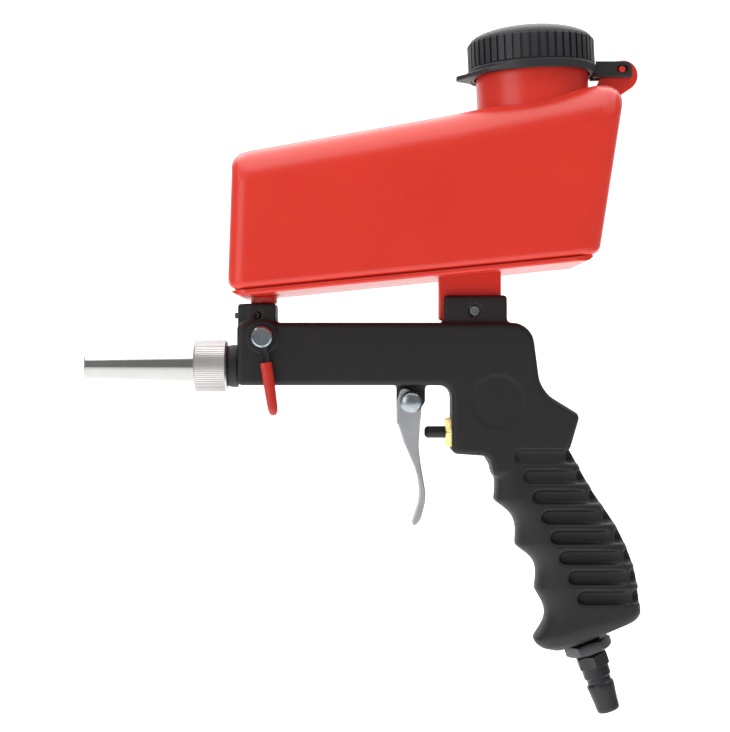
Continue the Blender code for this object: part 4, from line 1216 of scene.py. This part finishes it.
@dataclass
class Hopper:
    """Moulded hopper shell with its neck and lug, and the tray under it. Sizes in millimetres."""

    corners: tuple[Corner, ...] = (
        (-2.1, 33.4, 4.8), (162.9, 49.7, 5.0), (175.2, 128.6, 9.0), (93.3, 112.1, 0.0), (0.0, 95.6, 8.0),
    )
    edge_radii: tuple[float, ...] = (3.0, 8.0, 18.0, 18.0, 8.0)
    half_width: float = 33.0
    wall: float = 2.5
    neck_base: Point = (135.9, 125.0)
    neck_lean: float = math.radians(-2.5)
    neck_radius: float = 25.7
    neck_bore: float = 23.2
    neck_bottom: float = -11.0
    neck_top: float = 20.4
    hinge: Point = (176.3, 135.5)
    lug: tuple[Corner, ...] = (
        (165.4, 129.0, 0), (166.0, 119.0, 0), (173.5, 116.0, 0), (176.4, 124.4, 1.0), (184.6, 130.0, 6.4),
        (182.6, 140.8, 6.5), (170.8, 139.4, 6.5), (167.0, 132.0, 1.0),
    )
    lug_half_width: float = 2.5
    trunnion: tuple[float, float] = (1.5, 5.9)
    tray: tuple[Corner, ...] = (
        (3.4, 31.1, 4.0), (157.8, 46.6, 3.5), (160.8, 49.2, 0), (-0.8, 33.1, 0),
    )
    tray_half_width: float = 32.0
    tray_plan_radius: float = 9.0
    upstand: tuple[Corner, ...] = (
        (1.5, 32.2, 0), (158.9, 47.9, 0), (159.4, 51.3, 0.3), (1.7, 35.6, 0.3),
    )
    upstand_half_width: float = 29.8
    tongue: tuple[Corner, ...] = ((92.7, 21.0, 1.0), (121.0, 21.0, 1.0), (121.0, 43.5, 0), (92.7, 40.5, 0))
    tongue_half_width: float = 6.0
    spout_place: float = 12.5

    def _reach(self, i: int) -> float:
        """How far a corner's rounding runs along its walls.

        Args:
            i: the corner's number.

        Returns:
            The distance in millimetres.
        """
        x, z, radius = self.corners[i]
        here = Vector((x, z))
        back = Vector(self.corners[i - 1][:2]) - here
        ahead = Vector(self.corners[(i + 1) % len(self.corners)][:2]) - here
        return radius / math.tan(back.angle(ahead) / 2)

    def _weigh_edges(self, block: bpy.types.Object, widest: float) -> None:
        """Gives each edge of the hopper's block its share of the widest rounding.

        Args:
            block: the sharp block.
            widest: the largest rounding, in millimetres.
        """
        count = len(self.corners)
        with editing(block):
            for i in range(count):
                spots = [Vector(self.corners[j % count][:2]) * MM for j in (i, i + 1)]

                def at(vert: bmesh.types.BMVert, spot: Vector) -> bool:
                    return (Vector((vert.co.x, vert.co.z)) - spot).length < 1e-6

                choose(
                    block,
                    edge=lambda e, spots=spots: (at(e.verts[0], spots[0]) and at(e.verts[1], spots[1]))
                    or (at(e.verts[0], spots[1]) and at(e.verts[1], spots[0])),
                )
                bpy.ops.transform.edge_bevelweight(value=self.edge_radii[i] / widest)
                if self.corners[i][2]:
                    choose(block, edge=lambda e, spots=spots: all(at(v, spots[0]) for v in e.verts))
                    bpy.ops.transform.edge_bevelweight(value=self._reach(i) / widest)

    def shell(self) -> bpy.types.Object:
        """The shell: a block rounded by its moulded radii, opened below and given its wall, neck and lug.

        Returns:
            The shell.
        """
        sharp = [(x, z, 0.0) for x, z, _ in self.corners]
        piece = plate("hopper_shell", sharp, -self.half_width, self.half_width)
        widest = max(self.edge_radii)
        self._weigh_edges(piece, widest)
        apply_modifier(
            piece, "BEVEL", width=widest * MM, segments=12, limit_method="WEIGHT",
            use_clamp_overlap=False, offset_type="OFFSET",
        )
        floor_tilt = -math.cos(math.radians(6))
        with editing(piece):
            choose(piece, face=lambda f: f.normal.z < floor_tilt and f.calc_area() > 1e-3)
            bpy.ops.mesh.delete(type="FACE")
            bpy.ops.mesh.select_all(action="SELECT")
            bpy.ops.mesh.normals_make_consistent(inside=False)
        apply_modifier(piece, "SOLIDIFY", thickness=self.wall * MM, offset=-1, use_even_offset=True)
        self._add_neck(piece)
        self._add_lug(piece)
        tidy(piece, 32)
        apply_modifier(piece, "WEIGHTED_NORMAL", keep_sharp=True, weight=60)
        return piece

    def _neck_rod(self, radius: float, bottom: float, top: float) -> bpy.types.Object:
        """A round bar on the neck's leaning axis.

        Args:
            radius: in millimetres.
            bottom: its lower end, measured from the neck's base point.
            top: its upper end.

        Returns:
            The bar.
        """
        rod = turned("neck", ((radius, bottom), (radius, top)), 144, solid=True)
        x, z = self.neck_base
        settle(rod, Vector((x, 0, z)) * MM, Euler((0, self.neck_lean, 0)))
        return rod

    def _add_neck(self, piece: bpy.types.Object) -> None:
        """Joins the neck and bores it through the shell's top.

        Args:
            piece: the shell.
        """
        neck = self._neck_rod(self.neck_radius, self.neck_bottom, self.neck_top)
        soften(neck, 0.8, segments=3)
        combine(piece, neck, "UNION")
        bore = self._neck_rod(self.neck_bore, self.neck_bottom - 20, self.neck_top + 5)
        combine(piece, bore, "DIFFERENCE")

    def _add_lug(self, piece: bpy.types.Object) -> None:
        """Joins the hinge lug and its two trunnions.

        Args:
            piece: the shell.
        """
        half = self.lug_half_width
        lug = plate("lug", self.lug, -half, half, segments=8)
        soften(lug, 0.5, segments=3, angle=50)
        combine(piece, lug, "UNION")
        radius, reach = self.trunnion
        x, z = self.hinge
        pin = bar("trunnion", (x, -reach, z), Vector(Axis.Y.value), radius, 2 * reach)
        soften(pin, 0.3)
        combine(piece, pin, "UNION")

    def base(self) -> bpy.types.Object:
        """The tray with its upstand, spout and bracket tongue.

        Returns:
            The tray.
        """
        w = self.tray_half_width
        piece = plate("hopper_tray", self.tray, -w, w)
        with editing(piece):
            choose(
                piece,
                edge=lambda e: abs(abs(e.verts[0].co.y) - w * MM) < 1e-6
                and abs(abs(e.verts[1].co.y) - w * MM) < 1e-6
                and abs(e.verts[0].co.y - e.verts[1].co.y) < 1e-6,
            )
            bpy.ops.mesh.bevel(offset=0.9 * MM, segments=4, affect="EDGES", clamp_overlap=False)
        left, right, r = self.tray[3][0], self.tray[2][0], self.tray_plan_radius
        plan = plate("plan", ((left, -w, r), (right, -w, r), (right, w, r), (left, w, r)), 20, 60, segments=10)
        settle(plan, None, Euler((math.radians(90), 0, 0)))
        combine(piece, plan, "INTERSECT")
        u = self.upstand_half_width
        combine(piece, plate("upstand", self.upstand, -u, u), "UNION")
        stations = (
            (4.4, 19.7), (4.7, 20.0), (4.7, 28.7), (5.7, 28.7), (6.05, 29.05), (6.05, 30.6), (6.5, 31.6),
            (7.6, 32.6), (7.6, 34.2),
        )
        spout = turned("spout", stations, 72, solid=True)
        settle(spout, Vector((self.spout_place, 0, 0)) * MM)
        combine(piece, spout, "UNION")
        t = self.tongue_half_width
        tongue = plate("tongue", self.tongue, -t, t)
        soften(tongue, 0.8, segments=4, angle=50)
        combine(piece, tongue, "UNION")
        up = Vector(Axis.Z.value)
        combine(piece, bar("bore", (self.spout_place, 0, 10), up, 3.4, 40), "DIFFERENCE")
        funnel = turned("funnel", ((4.0, 33.0), (9.0, 36.5), (9.0, 45.0)), 72, solid=True)
        settle(funnel, Vector((self.spout_place, 0, 0)) * MM)
        combine(piece, funnel, "DIFFERENCE")
        pin = bar("pin_hole", (108.6, -10, 25.1), Vector(Axis.Y.value), 2.5, 20)
        combine(piece, pin, "DIFFERENCE")
        tidy(piece, 32)
        apply_modifier(piece, "WEIGHTED_NORMAL", keep_sharp=True, weight=60)
        return piece

    def deliver(self, shop: Workshop, finishes: Finishes) -> None:
        """Builds and delivers shell and tray.

        Args:
            shop: places them.
            finishes: their materials.
        """
        shop.deliver(self.shell(), "gun", "red_hopper_plastic", finishes.hopper_red, ["hopper_shell"])
        shop.deliver(self.base(), "gun", "red_hopper_plastic", finishes.hopper_red, ["hopper_tray"])


# ---------------------------------------------------------------------------------------------
# Cap
# ---------------------------------------------------------------------------------------------


@dataclass
class Cap:
    """Carrier ring with hinge ears and thumb tab, and the ribbed screw cap. Sizes in millimetres.

    Heights are along the neck's axis from its base point.
    """

    neck_base: Point = (135.9, 125.0)
    neck_lean: float = math.radians(-2.5)
    ring_bottom: float = 7.2
    ring_top: float = 11.3
    ring_radius: float = 29.5
    ring_bore: float = 28.0
    radius: float = 29.0
    bore: float = 26.6
    ceiling: float = 22.6
    shoulder: float = 23.3
    crown: float = 7.0
    ribs: int = 48
    steps_per_rib: int = 3
    groove_depth: float = 0.9
    arm: tuple[Corner, ...] = (
        (158.0, 131.9, 0), (180.7, 131.9, 0.6), (180.7, 139.1, 3.0), (158.0, 139.1, 0),
    )
    arm_walls: tuple[float, float] = (2.8, 6.2)
    eye: tuple[Corner, ...] = (
        (173.7, 133.75, 1.7), (178.9, 133.75, 1.7), (178.9, 137.25, 1.7), (173.7, 137.25, 1.7),
    )
    tab: tuple[Corner, ...] = (
        (-19.0, -20.6, 0), (-31.4, -5.6, 6.0), (-34.7, -2.2, 2.2), (-34.7, 2.2, 2.2), (-31.4, 6.6, 6.0),
        (-22.4, 22.2, 8.0), (-15.0, 25.5, 0),
    )

    def _on_neck(self, piece: bpy.types.Object) -> bpy.types.Object:
        """Moves a piece turned about Z onto the neck's axis.

        Args:
            piece: modelled about the origin.

        Returns:
            The same object.
        """
        x, z = self.neck_base
        settle(piece, Vector((x, 0, z)) * MM, Euler((0, self.neck_lean, 0)))
        return piece

    def ring(self) -> bpy.types.Object:
        """The carrier ring, its thumb tab and its two slotted ears.

        Returns:
            The ring.
        """
        low, high, outer, bore = self.ring_bottom, self.ring_top, self.ring_radius, self.ring_bore
        stations = (
            (bore - 1, low), (outer - 0.4, low), (outer, low + 0.4), (outer, high - 0.4),
            (outer - 0.4, high), (bore - 1, high),
        )
        piece = self._on_neck(turned("cap_carrier", stations, 144, solid=False))
        tab = plate("tab", self.tab, low + 0.2, low + 2.2)
        soften(tab, 0.5, segments=3, angle=50)
        with editing(tab):
            bpy.ops.mesh.select_all(action="SELECT")
        settle(tab, None, Euler((math.radians(90), 0, 0)))
        combine(piece, self._on_neck(tab), "UNION")
        near, far = self.arm_walls
        for side in (-1, 1):
            edges = sorted((side * near, side * far))
            arm = plate("arm", self.arm, *edges)
            soften(arm, 0.4, segments=3, angle=50)
            combine(piece, arm, "UNION")
        hole = turned(
            "hole",
            ((bore, low - 9), (bore, high + 0.05), (self.radius + 0.35, high + 0.05), (self.radius + 0.35, high + 9)),
            144,
            solid=True,
        )
        combine(piece, self._on_neck(hole), "DIFFERENCE")
        combine(piece, plate("eye", self.eye, -8, 8), "DIFFERENCE")
        tidy(piece, 32)
        return piece

    def cap(self) -> bpy.types.Object:
        """The screw cap: a domed top over a skirt with narrow grooves between its ribs.

        Returns:
            The cap.
        """
        r, low = self.radius, self.ring_top + 0.3
        rim = self.shoulder - 0.2
        stations = [
            (27.7, self.ring_bottom + 0.3), (27.7, low - 0.4), (28.0, low), (r - 0.3, low), (r, low + 0.3),
            (r, rim - 0.5), (r - 0.15, rim - 0.1), (r - 0.5, rim + 0.1),
        ]
        for k in range(0, 13):
            angle = math.pi / 2 * k / 13
            stations.append(((r - 0.9) * math.cos(angle), rim + 0.3 + self.crown * math.sin(angle) - 0.1))
        piece = turned("screw_cap", stations, self.ribs * self.steps_per_rib, solid=True)
        with editing(piece):
            choose(
                piece,
                face=lambda f: around(f, self.ribs * self.steps_per_rib) % self.steps_per_rib == 0
                and (low + 0.4) * MM < f.calc_center_median().z < (rim + 0.25) * MM
                and f.calc_center_median().xy.length > (r - 0.6) * MM,
            )
            bpy.ops.mesh.extrude_region_shrink_fatten(
                TRANSFORM_OT_shrink_fatten={"value": -self.groove_depth * MM}
            )
        inside = turned("inside", ((self.bore, 0), (self.bore, self.ceiling)), 96, solid=True)
        combine(piece, inside, "DIFFERENCE")
        tidy(piece, 30)
        return self._on_neck(piece)

    def deliver(self, shop: Workshop, finishes: Finishes) -> None:
        """Builds and delivers ring and cap.

        Args:
            shop: places them.
            finishes: their materials.
        """
        shop.deliver(self.ring(), "carrier_ring", "black_cap_plastic", finishes.cap_black, ["cap_carrier_ring"])
        shop.deliver(self.cap(), "cap", "black_cap_plastic", finishes.cap_black, ["screw_cap"])


# ---------------------------------------------------------------------------------------------
# Trigger, air valve and inlet
# ---------------------------------------------------------------------------------------------


@dataclass
class Trigger:
    """Cast trigger, its pivot screw and the bracket's pin. Sizes in millimetres."""

    pivot: Point = (80.0, -16.4)
    ear: tuple[Corner, ...] = (
        (73.5, -26.6, 0), (84.0, -26.6, 0), (84.7, -19.0, 4.0), (82.2, -12.0, 2.5), (75.4, -9.5, 2.0),
        (73.5, -16.0, 3.0),
    )
    ear_walls: tuple[float, float] = (5.3, 7.8)
    blade: tuple[Corner, ...] = (
        (73.5, -25.2, 0), (76.6, -35.0, 16.0), (83.0, -49.8, 30.0), (84.2, -60.5, 18.0), (80.0, -73.6, 0.9),
        (83.9, -71.4, 6.0), (86.9, -60.0, 18.0), (84.0, -43.0, 40.0), (83.3, -37.0, 16.0), (84.0, -25.2, 0),
    )
    blade_half_width: float = 7.8
    ear_gap: tuple[float, float] = (5.3, -24.0)
    head: tuple[Point, ...] = (
        (5.0, 0.0), (5.15, 0.25), (5.1, 0.7), (4.6, 1.35), (3.8, 1.9), (2.7, 2.35), (1.4, 2.65), (0.4, 2.72),
    )
    pin_place: Point = (108.6, 25.1)

    def arm(self) -> bpy.types.Object:
        """The trigger: a curved blade under two ears.

        Returns:
            The trigger.
        """
        w = self.blade_half_width
        piece = plate("trigger_arm", self.blade, -w, w, segments=8)
        round_rims(piece, -w, w, 0.6, segments=3)
        near, far = self.ear_walls
        for side in (-1, 1):
            edges = sorted((side * near, side * far))
            ear = plate("ear", self.ear, *edges, segments=6)
            soften(ear, 0.35, segments=3, angle=50)
            combine(piece, ear, "UNION")
        half, bottom = self.ear_gap
        combine(piece, brick("ear_gap", (70, -half, bottom), (90, half, 0)), "DIFFERENCE")
        x, z = self.pivot
        combine(piece, bar("hole", (x, -12, z), Vector(Axis.Y.value), 2.8, 24), "DIFFERENCE")
        tidy(piece, 30)
        return piece

    def screw(self) -> bpy.types.Object:
        """The pivot screw with its domed head on the near side.

        Returns:
            The screw.
        """
        face = self.ear_walls[1] + 0.3
        dome = [(r, face + h) for r, h in self.head]
        stations = [(2.2, -face - 2.6), (2.5, -face - 2.3), (2.5, face), *dome]
        piece = turned("pivot_screw", stations, 72, solid=True)
        tidy(piece, 40)
        settle(
            piece,
            Vector((self.pivot[0], 0, self.pivot[1])) * MM,
            (-Vector(Axis.Y.value)).to_track_quat("Z", "Y").to_euler(),
        )
        return piece

    def pin(self) -> bpy.types.Object:
        """The bracket's pin with a hexagon socket in its near end.

        Returns:
            The pin.
        """
        x, z = self.pin_place
        stations = ((2.0, -11.1), (2.2, -10.9), (2.2, 10.5), (1.9, 10.8))
        piece = laid(turned("bracket_pin", stations, 48, solid=True), Axis.Y, (x, 0, z))
        socket = laid(turned("socket", ((1.55, -13.0), (1.55, -8.5)), 6, solid=True), Axis.Y, (x, 0, z))
        combine(piece, socket, "DIFFERENCE")
        tidy(piece, 30)
        return piece

    def deliver(self, shop: Workshop, finishes: Finishes) -> None:
        """Builds and delivers trigger, screw and pin.

        Args:
            shop: places them.
            finishes: their materials.
        """
        shop.deliver(self.arm(), "trigger_arm", "cast_trigger_metal", finishes.tumbled_casting, ["trigger"])
        shop.deliver(self.screw(), "gun", "zinc_plated_steel", finishes.zinc_plate, ["pivot_screw"])
        shop.deliver(self.pin(), "gun", "zinc_plated_steel", finishes.zinc_plate, ["bracket_pin"])


@dataclass
class AirValve:
    """Brass bush and push pin behind the trigger. Sizes in millimetres."""

    height: float = -30.3
    across_flats: float = 13.2
    hexagon: Point = (95.6, 99.1)
    barrel_radius: float = 4.9
    barrel_end: float = 113.4
    bore: float = 3.05
    chamber: tuple[float, float] = (4.0, 104.2)
    port_place: float = 110.4
    pin: tuple[Point, ...] = (
        (1.5, 86.2), (1.9, 86.45), (2.75, 87.4), (2.75, 104.5), (3.7, 104.5), (3.7, 106.0), (1.5, 106.0),
        (1.5, 113.8),
    )

    def bush(self) -> bpy.types.Object:
        """The bush: a chamfered hexagon on a round barrel.

        Returns:
            The bush.
        """
        low, high = self.hexagon
        corner = self.across_flats / 2 / math.cos(math.pi / 6)
        piece = turned("valve_bush", ((corner, low), (corner, high)), 6, solid=True)
        with editing(piece):
            bpy.ops.mesh.select_all(action="SELECT")
            bpy.ops.transform.rotate(value=math.radians(30), orient_axis="Z", center_override=(0, 0, 0))
        chamfer = turned("chamfer", ((corner - 0.95, low - 0.05), (corner + 0.1, low + 0.55), (corner + 0.1, high + 1)),
                         96, solid=True)
        combine(piece, chamfer, "INTERSECT")
        barrel = turned("barrel", ((self.barrel_radius, low + 0.5), (self.barrel_radius, self.barrel_end)), 64, solid=True)
        combine(piece, barrel, "UNION")
        radius, start = self.chamber
        for name, r, h0, h1 in (("bore", self.bore, low - 5, start + 1), ("chamber", radius, start, self.barrel_end + 5)):
            combine(piece, turned(name, ((r, h0), (r, h1)), 64, solid=True), "DIFFERENCE")
        soften(piece, 0.12, angle=25)
        tidy(piece, 30)
        return laid(piece, Axis.X, (0, 0, self.height))

    def push_pin(self) -> bpy.types.Object:
        """The pin that the trigger presses.

        Returns:
            The pin.
        """
        piece = turned("push_pin", self.pin, 64, solid=True)
        soften(piece, 0.12)
        tidy(piece, 32)
        return laid(piece, Axis.X, (0, 0, self.height))

    def deliver(self, shop: Workshop, finishes: Finishes) -> None:
        """Builds and delivers bush and pin.

        Args:
            shop: places them.
            finishes: their materials.
        """
        shop.deliver(self.bush(), "gun", "brass", finishes.brass, ["valve_bush"])
        shop.deliver(self.push_pin(), "air_valve", "black_oxide_steel", finishes.black_oxide, ["push_pin"])


@dataclass
class Inlet:
    """Quick plug and its locknut. Sizes in millimetres, heights along the plug from its hexagon."""

    socket: Point = (162.65, -132.4)
    lean: float = math.radians(18)
    thread_radius: float = 6.1
    pitch: float = 1.34
    thread_depth: float = 0.45
    bore: float = 3.6
    across_flats: float = 13.6
    hexagon_end: float = 5.8
    nut: tuple[float, float] = (-6.4, -1.5)
    nut_corner: float = 10.9
    nut_bore: float = 6.4
    nose: tuple[Point, ...] = (
        (6.6, 5.7), (6.25, 6.1), (6.25, 10.3), (6.0, 10.7), (5.5, 11.1), (5.5, 13.1), (5.75, 13.5),
        (6.2, 14.1), (6.3, 14.7), (6.25, 15.6), (6.05, 17.4), (5.75, 20.0), (5.5, 22.5), (5.38, 24.5),
        (5.3, 26.0), (5.1, 26.7), (4.75, 27.1),
    )

    def _aim(self, piece: bpy.types.Object) -> bpy.types.Object:
        """Lays a piece turned about Z along the plug's axis.

        Args:
            piece: modelled about the origin, with +Z towards the plug's nose.

        Returns:
            The same object.
        """
        direction = Vector((math.sin(self.lean), 0, -math.cos(self.lean)))
        x, z = self.socket
        settle(piece, Vector((x, 0, z)) * MM, direction.to_track_quat("Z", "Y").to_euler())
        return piece

    def _hexagon(self, name: str, corner: float, low: float, high: float, spin: float) -> bpy.types.Object:
        """A hexagonal block with both ends chamfered as on a machined nut.

        Args:
            name: the new object's name.
            corner: its corner radius.
            low: its first end.
            high: its other end.
            spin: how far it is turned about its axis.

        Returns:
            The block.
        """
        block = turned(name, ((corner, low), (corner, high)), 6, solid=True)
        with editing(block):
            bpy.ops.mesh.select_all(action="SELECT")
            bpy.ops.transform.rotate(value=spin, orient_axis="Z", center_override=(0, 0, 0))
        across = corner * math.cos(math.pi / 6)
        rise = (corner - across) * 0.58
        ends = (
            (across, low - 0.01), (corner + 0.05, low + rise), (corner + 0.05, high - rise), (across, high + 0.01),
        )
        combine(block, turned("chamfers", ends, 96, solid=True), "INTERSECT")
        return block

    def plug(self) -> bpy.types.Object:
        """The quick plug: thread, hexagon, groove for the coupler's balls and a tapered nose.

        Returns:
            The plug.
        """
        stations: list[Point] = [(self.thread_radius - self.thread_depth, -21.0)]
        turns = int((21.0 - 0.6) / self.pitch)
        for k in range(turns):
            start = -20.8 + k * self.pitch
            stations += [(self.thread_radius, start + self.pitch * 0.4), (self.thread_radius, start + self.pitch * 0.6),
                         (self.thread_radius - self.thread_depth, start + self.pitch)]
        stations += [(self.thread_radius - self.thread_depth, 0.3), (6.6, 0.3), *self.nose]
        piece = turned("air_plug", stations, 72, solid=True)
        corner = self.across_flats / 2 / math.cos(math.pi / 6)
        combine(piece, self._hexagon("hexagon", corner, 0.0, self.hexagon_end, math.radians(30)), "UNION")
        bore = turned("bore", ((self.bore, -40), (self.bore, 40)), 72, solid=True)
        combine(piece, bore, "DIFFERENCE")
        tidy(piece, 30)
        return self._aim(piece)

    def locknut(self) -> bpy.types.Object:
        """The thin nut against the butt of the grip.

        Returns:
            The nut.
        """
        low, high = self.nut
        piece = self._hexagon("inlet_locknut", self.nut_corner, low, high, 0.0)
        bore = turned("bore", ((self.nut_bore, low - 5), (self.nut_bore, high + 5)), 72, solid=True)
        combine(piece, bore, "DIFFERENCE")
        soften(piece, 0.12, angle=25)
        tidy(piece, 30)
        return self._aim(piece)

    def deliver(self, shop: Workshop, finishes: Finishes) -> None:
        """Builds and delivers plug and nut.

        Args:
            shop: places them.
            finishes: their materials.
        """
        shop.deliver(self.plug(), "gun", "black_oxide_steel", finishes.black_oxide, ["air_plug"])
        shop.deliver(self.locknut(), "gun", "black_oxide_steel", finishes.black_oxide, ["inlet_locknut"])


@dataclass(frozen=True)
class KeptParts:
    """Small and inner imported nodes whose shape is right, and what each is made of."""

    def dress(self, finishes: Finishes) -> None:
        """Gives each node its material.

        Args:
            finishes: the materials.
        """
        groups = {
            finishes.rubber: (
                "nozzle_seal", "front_spindle_seal", "rear_spindle_seal", "spout_seal", "cap_gasket",
                "valve_washer", "valve_seat_seal",
            ),
            finishes.brass: ("air_jet", "valve_poppet", "inlet_seal"),
            finishes.black_oxide: ("side_grub_screw", "front_grub_screw"),
            finishes.zinc_plate: ("spindle_washer", "pivot_nut"),
            finishes.spring_wire: ("spindle_clip", "valve_spring"),
        }
        for material, names in groups.items():
            for name in names:
                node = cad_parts[name]
                for holder in node.material_slots:
                    holder.material = material
                log.info("%s: kept, in %s", name, material.name)


@dataclass(frozen=True)
class Studio:
    """Pale sweep, soft lights and the camera."""

    camera_place: tuple[float, float, float] = (-0.0904, -0.736, 0.080)
    lens_mm: float = 78.7
    floor_drop: float = 0.5
    paper_glow: float = 0.7
    room_light: float = 0.27

    def build(self) -> None:
        """Sets up floor, world, lights and camera."""
        self._sweep()
        self._world()
        self._lights()
        self._camera()

    def _sweep(self) -> None:
        """A floor that curves up into a wall far behind the gun."""
        nothing_selected()
        bpy.ops.mesh.primitive_plane_add(size=6, location=(0, 0, -self.floor_drop))
        floor = bpy.context.object
        floor.name = "floor"
        with editing(floor):
            choose(floor, edge=lambda e: all(v.co.y > 2.9 for v in e.verts))
            bpy.ops.mesh.extrude_region_move(TRANSFORM_OT_translate={"value": (0, 0, 4)})
            choose(floor, edge=lambda e: all(v.co.y > 2.9 and abs(v.co.z) < 0.01 for v in e.verts))
            bpy.ops.mesh.bevel(offset=1.2, segments=16, affect="EDGES")
        pick(floor)
        bpy.ops.object.shade_smooth()
        bpy.ops.object.transform_apply(location=True, rotation=True, scale=True)
        material = bpy.data.materials.new("pale_paper")
        material.use_nodes = True
        shader = material.node_tree.nodes["Principled BSDF"]
        shader.inputs["Base Color"].default_value = linear("#f6f6f6")
        shader.inputs["Roughness"].default_value = 0.9
        shader.inputs["Emission Color"].default_value = linear("#ffffff")
        shader.inputs["Emission Strength"].default_value = self.paper_glow
        floor.data.materials.append(material)

    def _world(self) -> None:
        """Even grey light from all round, which leaves the lamps in charge."""
        world = bpy.data.worlds.new("studio")
        world.use_nodes = True
        background = world.node_tree.nodes["Background"]
        background.inputs["Color"].default_value = (1, 1, 1, 1)
        background.inputs["Strength"].default_value = self.room_light
        bpy.context.scene.world = world

    def _lights(self) -> None:
        """One wide soft panel overhead and a small one to the left."""
        for name, place, wide, deep, power in (
            ("overhead", (0.0, 0.3, 1.15), 2.2, 2.2, 34.0),
            ("left", (-1.1, -0.9, 0.4), 0.9, 0.9, 4.5),
        ):
            lamp = bpy.data.lights.new(name, "AREA")
            lamp.shape = "RECTANGLE"
            lamp.size = wide
            lamp.size_y = deep
            lamp.energy = power
            stand = bpy.data.objects.new(name, lamp)
            bpy.context.scene.collection.objects.link(stand)
            stand.location = place
            aim = Vector((0, 0, -1)) if name == "overhead" else Vector((0, 0, 0.05)) - Vector(place)
            stand.rotation_euler = aim.to_track_quat("-Z", "Y").to_euler()

    def _camera(self) -> None:
        """A level camera that looks straight across the gun."""
        bpy.context.scene.view_settings.view_transform = "Standard"
        lens = bpy.data.cameras.new("camera")
        lens.lens = self.lens_mm
        lens.clip_end = 20
        stand = bpy.data.objects.new("camera", lens)
        bpy.context.scene.collection.objects.link(stand)
        stand.location = self.camera_place
        stand.rotation_euler = Euler((math.radians(90), 0, 0))
        bpy.context.scene.camera = stand


def main() -> None:
    """Builds the gun piece by piece, then the floor, the lights and the camera."""
    logging.basicConfig(level=logging.INFO, format="%(name)s: %(message)s")
    shop = Workshop()
    finishes = Finishes()
    body = CastBody().build()
    shop.deliver(body, "gun", "black_powder_coat", finishes.powder_coat, ["gun_body"])
    for assembly in (NozzleEnd(), MediaValve(), Hopper(), Cap(), Trigger(), AirValve(), Inlet()):
        assembly.deliver(shop, finishes)
    KeptParts().dress(finishes)
    Studio().build()


if __name__ == "__main__":
    main()
